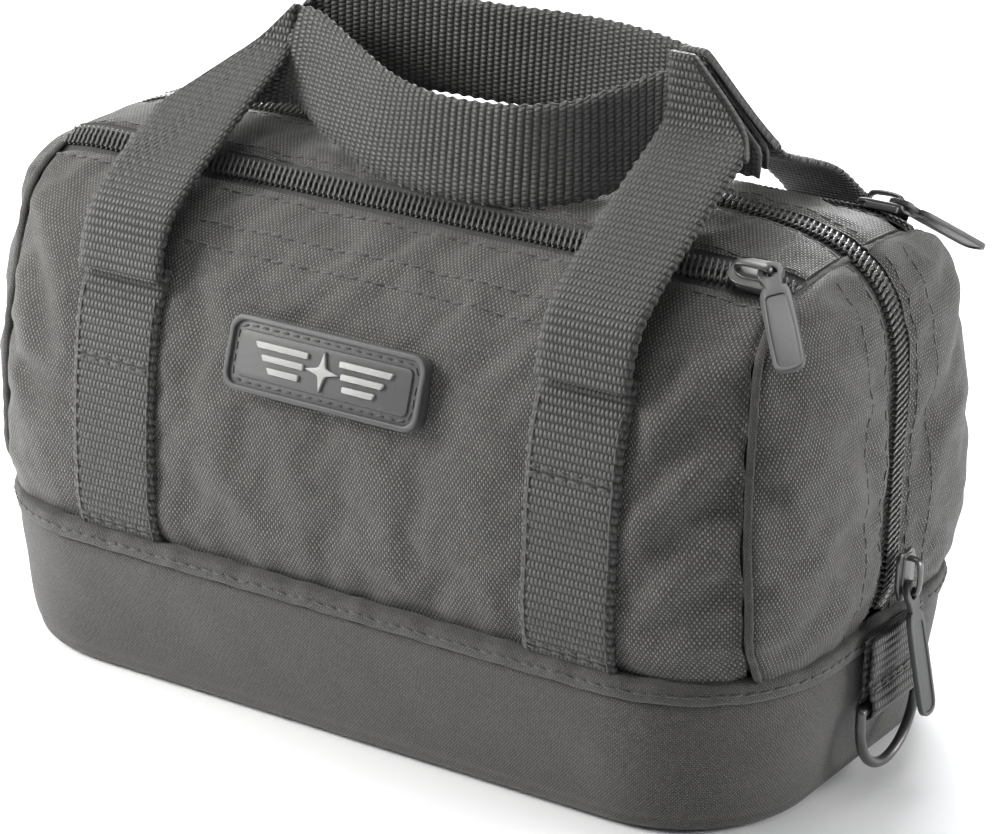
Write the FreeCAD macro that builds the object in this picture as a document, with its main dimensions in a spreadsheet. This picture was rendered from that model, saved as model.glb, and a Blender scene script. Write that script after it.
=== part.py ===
import FreeCAD, Part
import os
from math import cos, radians, sin

import Sketcher
from FreeCAD import Placement, Rotation, Vector

# Soft zippered carrying case with a padded base, two webbing handles, a main zip over the ridge,
# a zipped pocket on the front and on the rear, and a webbing tab with a D-ring at each end.
# Frame: +X along the case towards the slider end, -Y the front with the badge, +Z up.
# Origin: centre of the underside of the base.

doc = FreeCAD.newDocument("carrying_case")
sheet = doc.addObject("Spreadsheet::Sheet", "Dims")

DIMENSIONS = [
    # base
    ("base_half_length", 118.0),
    ("base_half_depth", 64.5),
    ("base_corner", 40.0),
    ("base_height", 36.0),
    ("base_taper", 4.5),
    ("base_edge_round", 4.0),
    ("cover_wall", 2.4),
    ("binding_height", 6.0),
    ("binding_proud", 1.2),
    ("binding_wall", 4.0),
    ("foam_wall", 4.0),
    ("board_thick", 2.0),
    ("floor_pad_thick", 2.2),
    # upper soft shell
    ("shell_bottom", 42.3),
    ("body_half_length", 122.8),
    ("body_half_depth", 66.5),
    ("body_corner", 44.0),
    ("body_height", 141.6),
    ("panel_wall", 2.0),
    ("lining_depth", 3.4),
    ("lining_wall", 2.6),
    ("seam_x", 106.0),
    ("seam_gap", 0.6),
    ("seam_ridge_width", 1.8),
    ("seam_ridge_proud", 1.1),
    # zips
    ("zip_slot_half", 5.0),
    ("zip_row_half", 3.0),
    ("zip_above", 0.4),
    ("zip_below", 2.3),
    ("tape_depth", 2.45),
    ("tape_wall", 0.4),
    ("pocket_zip_back", 31.0),
    ("pocket_zip_height", 132.5),
    ("pocket_zip_tilt", 32.0),
    ("pocket_zip_half_length", 102.0),
    ("pocket_tape_half", 4.8),
    ("pocket_tape_end", 91.0),
    ("main_tape_half", 9.0),
    ("main_zip_bottom", 44.0),
    # slider and pull
    ("slider_long", 13.0),
    ("slider_wide", 8.6),
    ("slider_base", 0.7),
    ("slider_plate", 1.1),
    ("slider_lip", 0.8),
    ("bail_wire", 0.9),
    ("bail_reach", 4.4),
    ("pull_thick", 1.4),
    ("pull_wide", 7.6),
    ("pull_long", 31.0),
    ("pull_eye_outer", 3.3),
    ("pull_eye_hole", 1.5),
    ("pocket_slider_x", 97.0),
    ("main_slider_z", 55.0),
    # webbing
    ("webbing_width", 25.4),
    ("webbing_thick", 1.9),
    ("right_leg_x", 70.0),
    ("left_leg_x", 64.0),
    ("leg_top", 112.0),
    ("handle_root", 114.0),
    # badge
    ("badge_long", 57.0),
    ("badge_high", 18.5),
    ("badge_thick", 2.6),
    ("badge_corner", 4.0),
    ("badge_z", 98.0),
    ("badge_tilt", 17.0),
    # tab and ring
    ("ring_x", 121.95),
    ("ring_z", 23.2),
    ("ring_wire", 1.3),
    ("ring_inner", 26.5),
    ("ring_straight", 3.0),
    ("tab_thick", 3.1),
    ("tab_roll", 3.0),
    ("tab_top", 41.8),
    ("ring_clearance", 0.1),
]

for number, (alias, value) in enumerate(DIMENSIONS, 1):
    sheet.set("A%d" % number, alias)
    sheet.set("B%d" % number, str(value))
    sheet.setAlias("B%d" % number, alias)
doc.recompute()

NODES = []
BIG = 400.0


def dim(alias):
    return float(getattr(sheet, alias))


def value_of(expression):
    return float(sheet.evalExpression(expression))


def bind(item, **expressions):
    """Bind properties such as Length="Dims.pull_long" (a double underscore stands for a dot)."""
    for name, expression in expressions.items():
        item.setExpression(name.replace("__", "."), expression)
    return item


def keep(item, label):
    """Mark an object as a finished piece of the case."""
    item.Label = label
    NODES.append(item)
    return item


# ---------------------------------------------------------------- parametric helpers

def origin_plane(body, role):
    return next(item for item in body.Origin.OriginFeatures if item.Role == role)


def rounded_rectangle(body, name, half_x, half_y, corner, role="XY_Plane"):
    """A centred rectangle with round corners; the sizes are expressions on the sheet."""
    sketch = body.newObject("Sketcher::SketchObject", name)
    sketch.AttachmentSupport = (origin_plane(body, role), "")
    sketch.MapMode = "FlatFace"
    hx, hy, r = value_of(half_x), value_of(half_y), value_of(corner)
    corners = [(hx - r, hy - r, 0), (-hx + r, hy - r, 90), (-hx + r, -hy + r, 180), (hx - r, -hy + r, 270)]
    sides = [((hx - r, hy), (-hx + r, hy)), ((-hx, hy - r), (-hx, -hy + r)),
             ((-hx + r, -hy), (hx - r, -hy)), ((hx, -hy + r), (hx, hy - r))]
    for (cx, cy, start), (first, last) in zip(corners, sides):
        circle = Part.Circle(Vector(cx, cy, 0), Vector(0, 0, 1), r)
        sketch.addGeometry(Part.ArcOfCircle(circle, radians(start), radians(start + 90)), False)
        sketch.addGeometry(Part.LineSegment(Vector(*first, 0), Vector(*last, 0)), False)
    for index in range(4):
        arc, line, following = 2 * index, 2 * index + 1, (2 * index + 2) % 8
        sketch.addConstraint(Sketcher.Constraint("Tangent", arc, 2, line, 1))
        sketch.addConstraint(Sketcher.Constraint("Tangent", line, 2, following, 1))
    sketch.addConstraint(Sketcher.Constraint("Horizontal", 1))
    sketch.addConstraint(Sketcher.Constraint("Vertical", 3))
    for arc in (2, 4, 6):
        sketch.addConstraint(Sketcher.Constraint("Equal", 0, arc))
    sketch.addConstraint(Sketcher.Constraint("Symmetric", 0, 3, 4, 3, -1, 1))
    named = [("corner", Sketcher.Constraint("Radius", 0, r), corner),
             ("width", Sketcher.Constraint("DistanceX", 3, 1, 7, 2, 2 * hx), "2 * (%s)" % half_x),
             ("height", Sketcher.Constraint("DistanceY", 5, 2, 1, 1, 2 * hy), "2 * (%s)" % half_y)]
    for label, constraint, expression in named:
        index = sketch.addConstraint(constraint)
        sketch.renameConstraint(index, label)
        sketch.setExpression("Constraints." + label, expression)
    return sketch


def pad(body, sketch, length, taper=None):
    feature = body.newObject("PartDesign::Pad", sketch.Name + "_pad")
    feature.Profile = sketch
    bind(feature, Length=length)
    if taper:
        bind(feature, TaperAngle=taper)
    return feature


def pocket(body, sketch, length, taper=None, upward=True):
    feature = body.newObject("PartDesign::Pocket", sketch.Name + "_pocket")
    feature.Profile = sketch
    feature.Reversed = upward
    bind(feature, Length=length)
    if taper:
        bind(feature, TaperAngle=taper)
    return feature


def new_body(label):
    return keep(doc.addObject("PartDesign::Body", label), label)


def box(name, length, width, height, x="0", y="0", z="0"):
    """A box given by its sizes and its low corner, all as expressions."""
    item = doc.addObject("Part::Box", name)
    return bind(item, Length=length, Width=width, Height=height,
                Placement__Base__x=x, Placement__Base__y=y, Placement__Base__z=z)


def cylinder(name, radius, height, x="0", y="0", z="0", direction=Vector(0, 0, 1)):
    item = doc.addObject("Part::Cylinder", name)
    item.Placement.Rotation = Rotation(Vector(0, 0, 1), direction)
    return bind(item, Radius=radius, Height=height,
                Placement__Base__x=x, Placement__Base__y=y, Placement__Base__z=z)


def fuse(name, items):
    item = doc.addObject("Part::MultiFuse", name)
    item.Shapes = items
    item.Refine = True
    return item


def cut(name, base, tool):
    item = doc.addObject("Part::Cut", name)
    item.Base = base
    item.Tool = tool
    return item


def soft_piece(label, shape):
    """A soft piece whose curved form is made in code from the sheet's sizes."""
    item = doc.addObject("Part::Feature", label)
    solids = shape.Solids
    item.Shape = solids[0] if len(solids) == 1 else shape
    item.Placement = Placement()
    return keep(item, label)


# ---------------------------------------------------------------- base

taper_angle = "atan(Dims.base_taper / (Dims.base_height))"

cover = new_body("base_cover")
low_outline = rounded_rectangle(cover, "cover_outline", "Dims.base_half_length - Dims.base_taper",
                                "Dims.base_half_depth - Dims.base_taper",
                                "Dims.base_corner - Dims.base_taper")
cover_pad = pad(cover, low_outline, "Dims.base_height", taper_angle)
doc.recompute()
bottom_edges = []
for number, edge in enumerate(cover_pad.Shape.Edges, 1):
    if edge.BoundBox.ZMax < 0.01:
        bottom_edges.append("Edge%d" % number)
rounding = cover.newObject("PartDesign::Fillet", "cover_bottom_round")
rounding.Base = (cover_pad, bottom_edges)
bind(rounding, Radius="Dims.base_edge_round")
doc.recompute()
solid_before = cover.Shape.Volume
inner_outline = rounded_rectangle(cover, "cover_hollow",
                                  "Dims.base_half_length - Dims.base_taper - Dims.cover_wall",
                                  "Dims.base_half_depth - Dims.base_taper - Dims.cover_wall",
                                  "Dims.base_corner - Dims.base_taper - Dims.cover_wall")
inner_outline.AttachmentOffset = Placement(Vector(0, 0, dim("cover_wall")), Rotation())
inner_outline.setExpression("AttachmentOffset.Base.z", "Dims.cover_wall")
pocket(cover, inner_outline, "Dims.base_height", taper_angle)
doc.recompute()
print("cover hollowed from %.0f to %.0f mm3" % (solid_before, cover.Shape.Volume))

inside_x = "Dims.base_half_length - Dims.base_taper - Dims.cover_wall - 0.3"
inside_y = "Dims.base_half_depth - Dims.base_taper - Dims.cover_wall - 0.3"
inside_corner = "Dims.base_corner - Dims.base_taper - Dims.cover_wall - 0.3"

board = new_body("base_board")
pad(board, rounded_rectangle(board, "board_outline", inside_x, inside_y, inside_corner), "Dims.board_thick")
board.setExpression("Placement.Base.z", "Dims.cover_wall + 0.1")

foam = new_body("base_foam_wall")
foam_rise = "Dims.base_height - Dims.cover_wall - Dims.board_thick + 3.2"
foam_pad = pad(foam, rounded_rectangle(foam, "foam_outline", inside_x, inside_y, inside_corner), foam_rise)
doc.recompute()
foam_hollow = rounded_rectangle(foam, "foam_hollow", inside_x + " - Dims.foam_wall",
                                inside_y + " - Dims.foam_wall", inside_corner + " - Dims.foam_wall")
pocket(foam, foam_hollow, foam_rise)
foam.setExpression("Placement.Base.z", "Dims.cover_wall + Dims.board_thick + 0.2")

floor_pad = new_body("base_floor_pad")
pad(floor_pad, rounded_rectangle(floor_pad, "floor_outline", inside_x + " - Dims.foam_wall - 0.3",
                                 inside_y + " - Dims.foam_wall - 0.3",
                                 inside_corner + " - Dims.foam_wall - 0.3"), "Dims.floor_pad_thick")
floor_pad.setExpression("Placement.Base.z", "Dims.cover_wall + Dims.board_thick + 0.2")

binding = new_body("base_binding")
pad(binding, rounded_rectangle(binding, "binding_outline", "Dims.base_half_length + Dims.binding_proud",
                               "Dims.base_half_depth + Dims.binding_proud",
                               "Dims.base_corner + Dims.binding_proud"), "Dims.binding_height")
doc.recompute()
binding_hollow = rounded_rectangle(
    binding, "binding_hollow", "Dims.base_half_length + Dims.binding_proud - Dims.binding_wall",
    "Dims.base_half_depth + Dims.binding_proud - Dims.binding_wall",
    "Dims.base_corner + Dims.binding_proud - Dims.binding_wall")
pocket(binding, binding_hollow, "Dims.binding_height")
binding.setExpression("Placement.Base.z", "Dims.base_height")

# ---------------------------------------------------------------- tabs and D-rings at both ends

for side, sign in (("right", 1), ("left", -1)):
    # double webbing tab, sewn under the binding, with a rolled lower end around the ring's bar
    sheet_part = box("tab_sheet_" + side, "Dims.tab_thick", "Dims.webbing_width",
                     "Dims.tab_top - Dims.ring_z", "-Dims.tab_thick / 2", "-Dims.webbing_width / 2")
    roll = cylinder("tab_roll_" + side, "Dims.tab_roll", "Dims.webbing_width",
                    y="Dims.webbing_width / 2", direction=Vector(0, -1, 0))
    bore = cylinder("tab_bore_" + side, "Dims.ring_wire + Dims.ring_clearance", "Dims.webbing_width + 2",
                    y="Dims.webbing_width / 2 + 1", direction=Vector(0, -1, 0))
    tab = cut("ring_tab_cut_" + side, fuse("tab_solid_" + side, [sheet_part, roll]), bore)
    bind(tab, Placement__Base__x="%d * Dims.ring_x" % sign, Placement__Base__z="Dims.ring_z")
    keep(tab, "ring_tab_" + side)

    # D-ring: straight bar in the roll, two short straights and a half-round bow below
    reach = "(Dims.ring_inner / 2 + Dims.ring_wire)"
    bar = cylinder("ring_bar_" + side, "Dims.ring_wire", "2 * " + reach, y=reach, direction=Vector(0, -1, 0))
    straights = []
    for place in (1, -1):
        straights.append(cylinder("ring_straight_%s_%d" % (side, place + 1), "Dims.ring_wire",
                                  "Dims.ring_straight", y="%d * %s" % (place, reach),
                                  z="-Dims.ring_straight"))
    bow = doc.addObject("Part::Torus", "ring_bow_" + side)
    bow.Angle3 = 180
    bow.Placement.Rotation = Rotation(Vector(0, 1, 0), Vector(0, 0, -1), Vector(-1, 0, 0), "XYZ")
    bind(bow, Radius1=reach, Radius2="Dims.ring_wire", Placement__Base__z="-Dims.ring_straight")
    elbows = []
    for place in (1, -1):
        elbow = doc.addObject("Part::Sphere", "ring_elbow_%s_%d" % (side, place + 1))
        elbows.append(bind(elbow, Radius="Dims.ring_wire", Placement__Base__y="%d * %s" % (place, reach)))
    ring = fuse("d_ring_fuse_" + side, [bar, bow] + straights + elbows)
    bind(ring, Placement__Base__x="%d * Dims.ring_x" % sign, Placement__Base__z="Dims.ring_z")
    keep(ring, "d_ring_" + side)

# ---------------------------------------------------------------- form of the soft upper shell

# Half section across the case (distance from the ridge plane, height), from the seam to the ridge.
side_rise = [(65.0, 36.0), (65.6, 42.0), (66.5, 54.0), (66.4, 68.0), (65.4, 82.0), (62.8, 96.0), (58.6, 107.5),
             (52.0, 117.6), (42.5, 126.0), (31.0, 132.5), (18.0, 137.6), (7.0, 140.8)]
# Half outline along the case (distance from the middle, height); straight where the main slider runs.
end_rise = [(117.4, 36.0), (118.6, 42.0), (121.4, 49.0), (122.6, 56.0), (122.8, 64.0), (122.8, 80.0),
            (122.8, 96.0), (122.0, 106.0), (119.4, 116.0), (114.2, 125.6), (106.0, 132.6), (94.0, 137.4),
            (76.0, 140.4), (50.0, 141.5)]


def arch_curve(half, top, offset):
    """The arch through a half profile and its mirror, moved outwards by the offset."""
    points = [Vector(-a, b, 0) for a, b in half]
    points.append(Vector(0, top, 0))
    points.extend(Vector(a, b, 0) for a, b in reversed(half))
    curve = Part.BSplineCurve()
    curve.interpolate(points)
    moved = []
    for point in points:
        tangent = curve.tangent(curve.parameter(point))[0]
        outward = Vector(-tangent.y, tangent.x, 0)
        moved.append(point + outward * offset)
    result = Part.BSplineCurve()
    result.interpolate(moved)
    return result


def arch_prism(half, top, offset, along_x):
    curve = arch_curve(half, top, offset)
    first = curve.value(curve.FirstParameter)
    last = curve.value(curve.LastParameter)
    wire = Part.Wire([curve.toShape(), Part.makeLine(last, first)])
    prism = Part.Face(wire).extrude(Vector(0, 0, 2 * BIG))
    prism.translate(Vector(0, 0, -BIG))
    # the drawing plane is (across, up): stand it up in the case's frame
    if along_x:
        upright = Rotation(Vector(0, 1, 0), Vector(0, 0, 1), Vector(1, 0, 0), "XYZ")
    else:
        upright = Rotation(Vector(1, 0, 0), Vector(0, 0, 1), Vector(0, -1, 0), "XYZ")
    prism.Placement = Placement(Vector(), upright) * prism.Placement
    return prism


def plan_prism(offset):
    half_x = dim("body_half_length") + offset
    half_y = dim("body_half_depth") + offset
    corner = dim("body_corner") + offset
    low = dim("shell_bottom")
    block = Part.makeBox(2 * half_x, 2 * half_y, 120.0, Vector(-half_x, -half_y, low))
    upright = [edge for edge in block.Edges if abs(edge.BoundBox.ZLength - 120.0) < 0.01]
    return block.makeFillet(corner, upright)


FORMS = {}


def form(offset):
    """The closed pillow form of the upper case, grown outwards (+) or inwards (-) by the offset."""
    if offset not in FORMS:
        top = dim("body_height")
        across = arch_prism(side_rise, top, offset, True)
        along = arch_prism(end_rise, top, offset, False)
        FORMS[offset] = plan_prism(offset).common(across).common(along)
    return FORMS[offset]


def shell(outer, inner):
    return form(outer).cut(form(inner))


def slab(x0, x1, y0, y1, z0=0.0, z1=200.0):
    return Part.makeBox(x1 - x0, y1 - y0, z1 - z0, Vector(x0, y0, z0))


# Frame of a pocket zip: "across" points down the panel, "out" points away from the case.
tilt = radians(dim("pocket_zip_tilt"))


def pocket_frame(sign):
    """sign -1 is the front, +1 the rear."""
    centre = Vector(0, sign * dim("pocket_zip_back"), dim("pocket_zip_height"))
    across = Vector(0, sign * cos(tilt), -sin(tilt))
    out = Vector(0, sign * sin(tilt), cos(tilt))
    return centre, across, out


def zip_slab(sign, half_width, low=-20.0, high=20.0, half_length=BIG):
    """A box centred on the pocket zip's line: half_width down the panel, low..high outwards."""
    centre, across, out = pocket_frame(sign)
    block = Part.makeBox(2 * half_length, 2 * half_width, high - low, Vector(-half_length, -half_width, low))
    along = Vector(1, 0, 0) if sign < 0 else Vector(-1, 0, 0)
    turn = Rotation(along, out.cross(along), out, "ZXY")
    block.Placement = Placement(centre, turn)
    return block


def pocket_seat(sign):
    """Seat for pieces on a pocket zip: X along the case, Z outwards."""
    centre, across, out = pocket_frame(sign)
    along = Vector(1, 0, 0)
    return centre, Rotation(along, out.cross(along), out, "ZXY")


def below_zip(sign):
    centre, across, out = pocket_frame(sign)
    block = zip_slab(sign, 100.0, -150.0, 150.0)
    block.translate(across * (100.0 + dim("zip_slot_half")))
    return block


def above_zip(sign):
    centre, across, out = pocket_frame(sign)
    block = zip_slab(sign, 100.0, -150.0, 150.0)
    block.translate(across * -(100.0 + dim("zip_slot_half")))
    return block


def half_space(sign, start, end=BIG):
    """Everything between two distances from the ridge plane on one side."""
    return slab(-BIG, BIG, start, end) if sign > 0 else slab(-BIG, BIG, -end, -start)


panel_shell = shell(0.0, -dim("panel_wall"))
lining_shell = shell(-dim("lining_depth"), -dim("lining_depth") - dim("lining_wall"))
row_shell = shell(dim("zip_above"), -dim("zip_below"))
tape_shell = shell(-dim("tape_depth"), -dim("tape_depth") - dim("tape_wall"))
leg_shell = shell(0.15 + dim("webbing_thick"), 0.15)
ridge_shell = shell(dim("seam_ridge_proud"), 0.0)

seam = dim("seam_x")
gap = dim("seam_gap")
ridge = dim("seam_ridge_width")
slot = dim("zip_slot_half")
bottom = dim("shell_bottom")
half_web = dim("webbing_width") / 2
leg_centre = {1: dim("right_leg_x"), -1: -dim("left_leg_x")}

for name, sign in (("front", -1), ("rear", 1)):
    middle = slab(-seam + gap, seam - gap, -BIG, BIG)
    side = half_space(sign, 0.0)
    beside_ridge = half_space(sign, slot)
    soft_piece(name + "_panel", panel_shell.common(middle).common(side).common(below_zip(sign)))
    soft_piece(name + "_top_strip",
               panel_shell.common(middle).common(beside_ridge).common(above_zip(sign)))
    soft_piece(name + "_lining_wall", lining_shell.common(half_space(sign, 0.3)))
    for end, mirror in (("right", 1), ("left", -1)):
        region = slab(seam + gap, BIG, -BIG, BIG) if mirror > 0 else slab(-BIG, -seam - gap, -BIG, BIG)
        soft_piece("%s_end_panel_%s" % (name, end), panel_shell.common(region).common(beside_ridge))
        edge_x = mirror * seam
        ridge_slab = slab(edge_x - ridge / 2, edge_x + ridge / 2, -BIG, BIG, bottom, 200.0)
        soft_piece("%s_seam_ridge_%s" % (name, end),
                   ridge_shell.common(ridge_slab).common(side).common(below_zip(sign)))
        leg_slab = slab(leg_centre[mirror] - half_web, leg_centre[mirror] + half_web,
                        -BIG, BIG, bottom, dim("leg_top"))
        soft_piece("%s_leg_%s" % (name, end), leg_shell.common(leg_slab).common(side))

    # main zip: each half of the case carries one row and its tape
    row_region = half_space(sign, 0.15, dim("zip_row_half") + 0.2)
    above_stop = slab(-BIG, BIG, -BIG, BIG, dim("main_zip_bottom"), 200.0)
    soft_piece("main_zip_row_" + name, row_shell.common(row_region).common(above_stop))
    soft_piece("main_zip_tape_" + name, tape_shell.common(half_space(sign, 0.3, dim("main_tape_half"))))

    # pocket zip: straight so that its slider can run
    for label, half_long, half_wide, low, high in (
            (name + "_zip_chain", "Dims.pocket_zip_half_length", "Dims.zip_row_half", -dim("zip_below"),
             "Dims.zip_above + Dims.zip_below"),
            (name + "_zip_tape", "Dims.pocket_tape_end", "Dims.pocket_tape_half",
             -dim("tape_depth") - dim("tape_wall"), "Dims.tape_wall")):
        strip = doc.addObject("Part::Box", label)
        bind(strip, Length="2 * " + half_long, Width="2 * " + half_wide, Height=high)
        centre, turn = pocket_seat(sign)
        corner = Vector(-value_of(half_long), -value_of(half_wide), low)
        strip.Placement = Placement(centre + turn.multVec(corner), turn)
        keep(strip, label)

# ---------------------------------------------------------------- sliders and pulls


def slider(label, placement, eye_height, lips):
    """Plate over the chain with an arched wire bail; X runs along the zip, Z points outwards."""
    plate = box(label + "_plate", "Dims.slider_long", "Dims.slider_wide", "Dims.slider_plate",
                "-Dims.slider_long / 2", "-Dims.slider_wide / 2", "Dims.slider_base")
    parts = [plate]
    top = "(%s + Dims.pull_thick / 2 + Dims.bail_wire + 0.3)" % eye_height
    for place in (1, -1):
        reach = "%d * Dims.bail_reach" % place
        parts.append(cylinder("%s_post_%d" % (label, place + 1), "Dims.bail_wire",
                              top + " - Dims.slider_base", reach, z="Dims.slider_base"))
        knee = doc.addObject("Part::Sphere", "%s_knee_%d" % (label, place + 1))
        parts.append(bind(knee, Radius="Dims.bail_wire", Placement__Base__x=reach, Placement__Base__z=top))
    parts.append(cylinder(label + "_bow", "Dims.bail_wire", "2 * Dims.bail_reach", "-Dims.bail_reach", z=top,
                          direction=Vector(1, 0, 0)))
    if lips:
        for place in (1, -1):
            low_y = "Dims.slider_wide / 2 - Dims.slider_lip" if place > 0 else "-Dims.slider_wide / 2"
            parts.append(box("%s_lip_%d" % (label, place + 1), "Dims.slider_long", "Dims.slider_lip", "1.4",
                             "-Dims.slider_long / 2", low_y, "Dims.slider_base - 1.3"))
    item = fuse(label + "_fuse", parts)
    item.Placement = placement
    return keep(item, label)


def pull(label, placement):
    """Blank metal tab; the origin is the centre of its eye and the tab runs along +X."""
    neck = box(label + "_neck", "Dims.pull_eye_outer + 3", "2 * Dims.pull_eye_outer", "Dims.pull_thick",
               y="-Dims.pull_eye_outer", z="-Dims.pull_thick / 2")
    blade = box(label + "_blade", "Dims.pull_long - 5 - Dims.pull_wide / 2", "Dims.pull_wide",
                "Dims.pull_thick", "5", "-Dims.pull_wide / 2", "-Dims.pull_thick / 2")
    tip = cylinder(label + "_tip", "Dims.pull_wide / 2", "Dims.pull_thick",
                   "Dims.pull_long - Dims.pull_wide / 2", z="-Dims.pull_thick / 2")
    head = cylinder(label + "_head", "Dims.pull_eye_outer", "Dims.pull_thick", z="-Dims.pull_thick / 2")
    eye = cylinder(label + "_eye", "Dims.pull_eye_hole", "Dims.pull_thick + 2", z="-Dims.pull_thick / 2 - 1")
    item = cut(label + "_cut", fuse(label + "_solid", [neck, blade, tip, head]), eye)
    item.Placement = placement
    return keep(item, label)


low_eye = dim("slider_base") + dim("slider_plate") + 0.2 + dim("pull_thick") / 2
high_eye = low_eye + 0.7
reach = dim("bail_reach")

for name, sign, lean in (("front", -1, 35.0), ("rear", 1, 18.0)):
    centre, across, out = pocket_frame(sign)
    along = Vector(1, 0, 0)
    centre = centre + along * dim("pocket_slider_x")
    turn = pocket_seat(sign)[1]
    slider(name + "_zip_slider", Placement(centre, turn),
           "(Dims.slider_base + Dims.slider_plate + 0.2 + Dims.pull_thick / 2)", True)
    # the tab hangs down the panel, leaning towards the end of the case
    hang = across * cos(radians(lean)) + along * sin(radians(lean))
    pull_turn = Rotation(hang, out.cross(hang), out, "ZXY")
    pull(name + "_zip_pull", Placement(centre + along * reach + out * low_eye, pull_turn))

up = Vector(0, 0, 1)
outward = Vector(1, 0, 0)
main_centre = Vector(dim("body_half_length"), 0, dim("main_slider_z"))
slider("main_zip_slider", Placement(main_centre, Rotation(up, outward.cross(up), outward, "ZXY")),
       "(Dims.slider_base + Dims.slider_plate + 0.9 + Dims.pull_thick / 2)", False)
lean = radians(12.0)
hang = Vector(sin(lean), 0, -cos(lean))
face = Vector(cos(lean), 0, sin(lean))
pull("main_zip_pull", Placement(main_centre - up * reach + outward * high_eye,
                                Rotation(hang, face.cross(hang), face, "ZXY")))

# ---------------------------------------------------------------- badge

badge = new_body("front_badge")
pad(badge, rounded_rectangle(badge, "badge_outline", "Dims.badge_long / 2", "Dims.badge_high / 2",
                             "Dims.badge_corner"), "Dims.badge_thick")
doc.recompute()
badge_before = badge.Shape.Volume
field = rounded_rectangle(badge, "badge_field", "Dims.badge_long / 2 - 1.2", "Dims.badge_high / 2 - 1.2",
                          "Dims.badge_corner - 1.2")
field.AttachmentOffset = Placement(Vector(0, 0, dim("badge_thick") - 0.6), Rotation())
field.setExpression("AttachmentOffset.Base.z", "Dims.badge_thick - 0.6")
pocket(badge, field, "0.6 + 0.1")
doc.recompute()
print("badge field cut from %.0f to %.0f mm3" % (badge_before, badge.Shape.Volume))
badge_lean = radians(dim("badge_tilt"))
badge_face = Vector(0, -cos(badge_lean), sin(badge_lean))
badge_up = Vector(0, sin(badge_lean), cos(badge_lean))
badge.Placement = Placement(Vector(0, -62.9, dim("badge_z")),
                            Rotation(Vector(1, 0, 0), badge_up, badge_face, "ZXY"))

# ---------------------------------------------------------------- handles

# Path of the free webbing beside each leg: (distance from the ridge plane, height), root to top.
front_path = [(60.0, 114.0), (59.8, 119.0), (56.0, 125.4), (46.5, 133.0), (35.4, 140.0), (23.0, 147.8),
              (10.0, 154.8), (4.5, 157.6)]
rear_path = [(60.0, 114.0), (59.8, 119.0), (56.0, 125.0), (46.5, 132.2), (35.6, 139.4), (24.0, 143.8),
             (13.0, 147.2), (4.0, 149.8), (1.2, 150.6)]
# Grip stations: (x, y, height of the lower edge)
front_grip = [(-53, -4.6, 144.4), (-42, -8.8, 143.4), (-30, -15.8, 140.4), (-12, -23.0, 137.4),
              (8, -25.4, 136.6), (28, -23.8, 137.6), (46, -15.0, 141.6), (60, -6.0, 148.0)]
rear_grip = [(-53, 1.6, 144.6), (-40, 5.0, 147.6), (-20, 9.0, 149.4), (0, 10.5, 149.6), (22, 10.0, 150.4),
             (42, 6.0, 150.6), (60, 1.8, 149.5)]
# The folds where a leg turns into the grip slant inwards: (x, height) at the outer and the inner edge.
folds = {1: [(82.7, 153.2), (63.4, 172.4)], -1: [(-76.7, 142.8), (-52.4, 167.0)]}


def strip_along(points, thickness):
    """Closed outline of a strip of even thickness along a polyline in the (y, z) plane."""
    left, right = [], []
    for index, (y, z) in enumerate(points):
        before = points[max(index - 1, 0)]
        after = points[min(index + 1, len(points) - 1)]
        step = Vector(0, after[0] - before[0], after[1] - before[1])
        step.normalize()
        normal = Vector(0, -step.z, step.y) * (thickness / 2)
        left.append(Vector(0, y, z) + normal)
        right.append(Vector(0, y, z) - normal)
    return Part.Face(Part.makePolygon(left + right[::-1] + [left[0]]))


def grip_band(stations, thickness, width):
    """Upright band lofted through sections along the grip."""
    sections = []
    for index, (x, y, low) in enumerate(stations):
        before = stations[max(index - 1, 0)]
        after = stations[min(index + 1, len(stations) - 1)]
        step = Vector(after[0] - before[0], after[1] - before[1], 0)
        step.normalize()
        side = Vector(-step.y, step.x, 0) * (thickness / 2)
        low_point = Vector(x, y, low)
        high_point = Vector(x, y, low + width)
        sections.append(Part.makePolygon([low_point - side, low_point + side, high_point + side,
                                          high_point - side, low_point - side]))
    return Part.makeLoft(sections, True, True)


thick = dim("webbing_thick")
for name, sign, path, grip in (("front", -1, front_path, front_grip), ("rear", 1, rear_path, rear_grip)):
    strap = grip_band(grip, thick, dim("webbing_width") - 2.4)
    run = strip_along([(sign * y, z) for y, z in path], thick)
    end_y = sign * path[-1][0]
    low_z = path[-1][1] - 5.0
    for mirror in (1, -1):
        piece = run.extrude(Vector(dim("webbing_width"), 0, 0))
        piece.translate(Vector(leg_centre[mirror] - half_web, 0, 0))
        inner = leg_centre[mirror] - mirror * (half_web + 2.0)
        outer = leg_centre[mirror] + mirror * half_web
        (outer_x, outer_z), (inner_x, inner_z) = folds[mirror]
        corner_piece = slab(min(inner, outer), max(inner, outer), end_y - thick / 2, end_y + thick / 2,
                            low_z, inner_z)
        # everything beyond the slanting fold is cut away
        slope = (inner_z - outer_z) / (inner_x - outer_x)
        beyond = [(inner_x, inner_z), (outer_x + mirror * 5.0, outer_z + mirror * 5.0 * slope),
                  (outer_x + mirror * 5.0, 200.0), (inner_x, 200.0)]
        wedge = Part.Face(Part.makePolygon([Vector(x, -BIG, z) for x, z in beyond + beyond[:1]]))
        leg = piece.fuse(corner_piece).cut(wedge.extrude(Vector(0, 2 * BIG, 0)))
        strap = strap.fuse(leg)
    soft_piece(name + "_handle", strap.removeSplitter())

# ---------------------------------------------------------------- check and write

doc.recompute()
failed = []
for item in doc.Objects:
    if "Invalid" in item.State or "Error" in item.State:
        failed.append(item.Name)
for item in NODES:
    if item.Shape.isNull() or not item.Shape.isValid() or not item.Shape.Solids:
        failed.append(item.Label)
if failed:
    raise RuntimeError("failed objects: " + ", ".join(failed))

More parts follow.
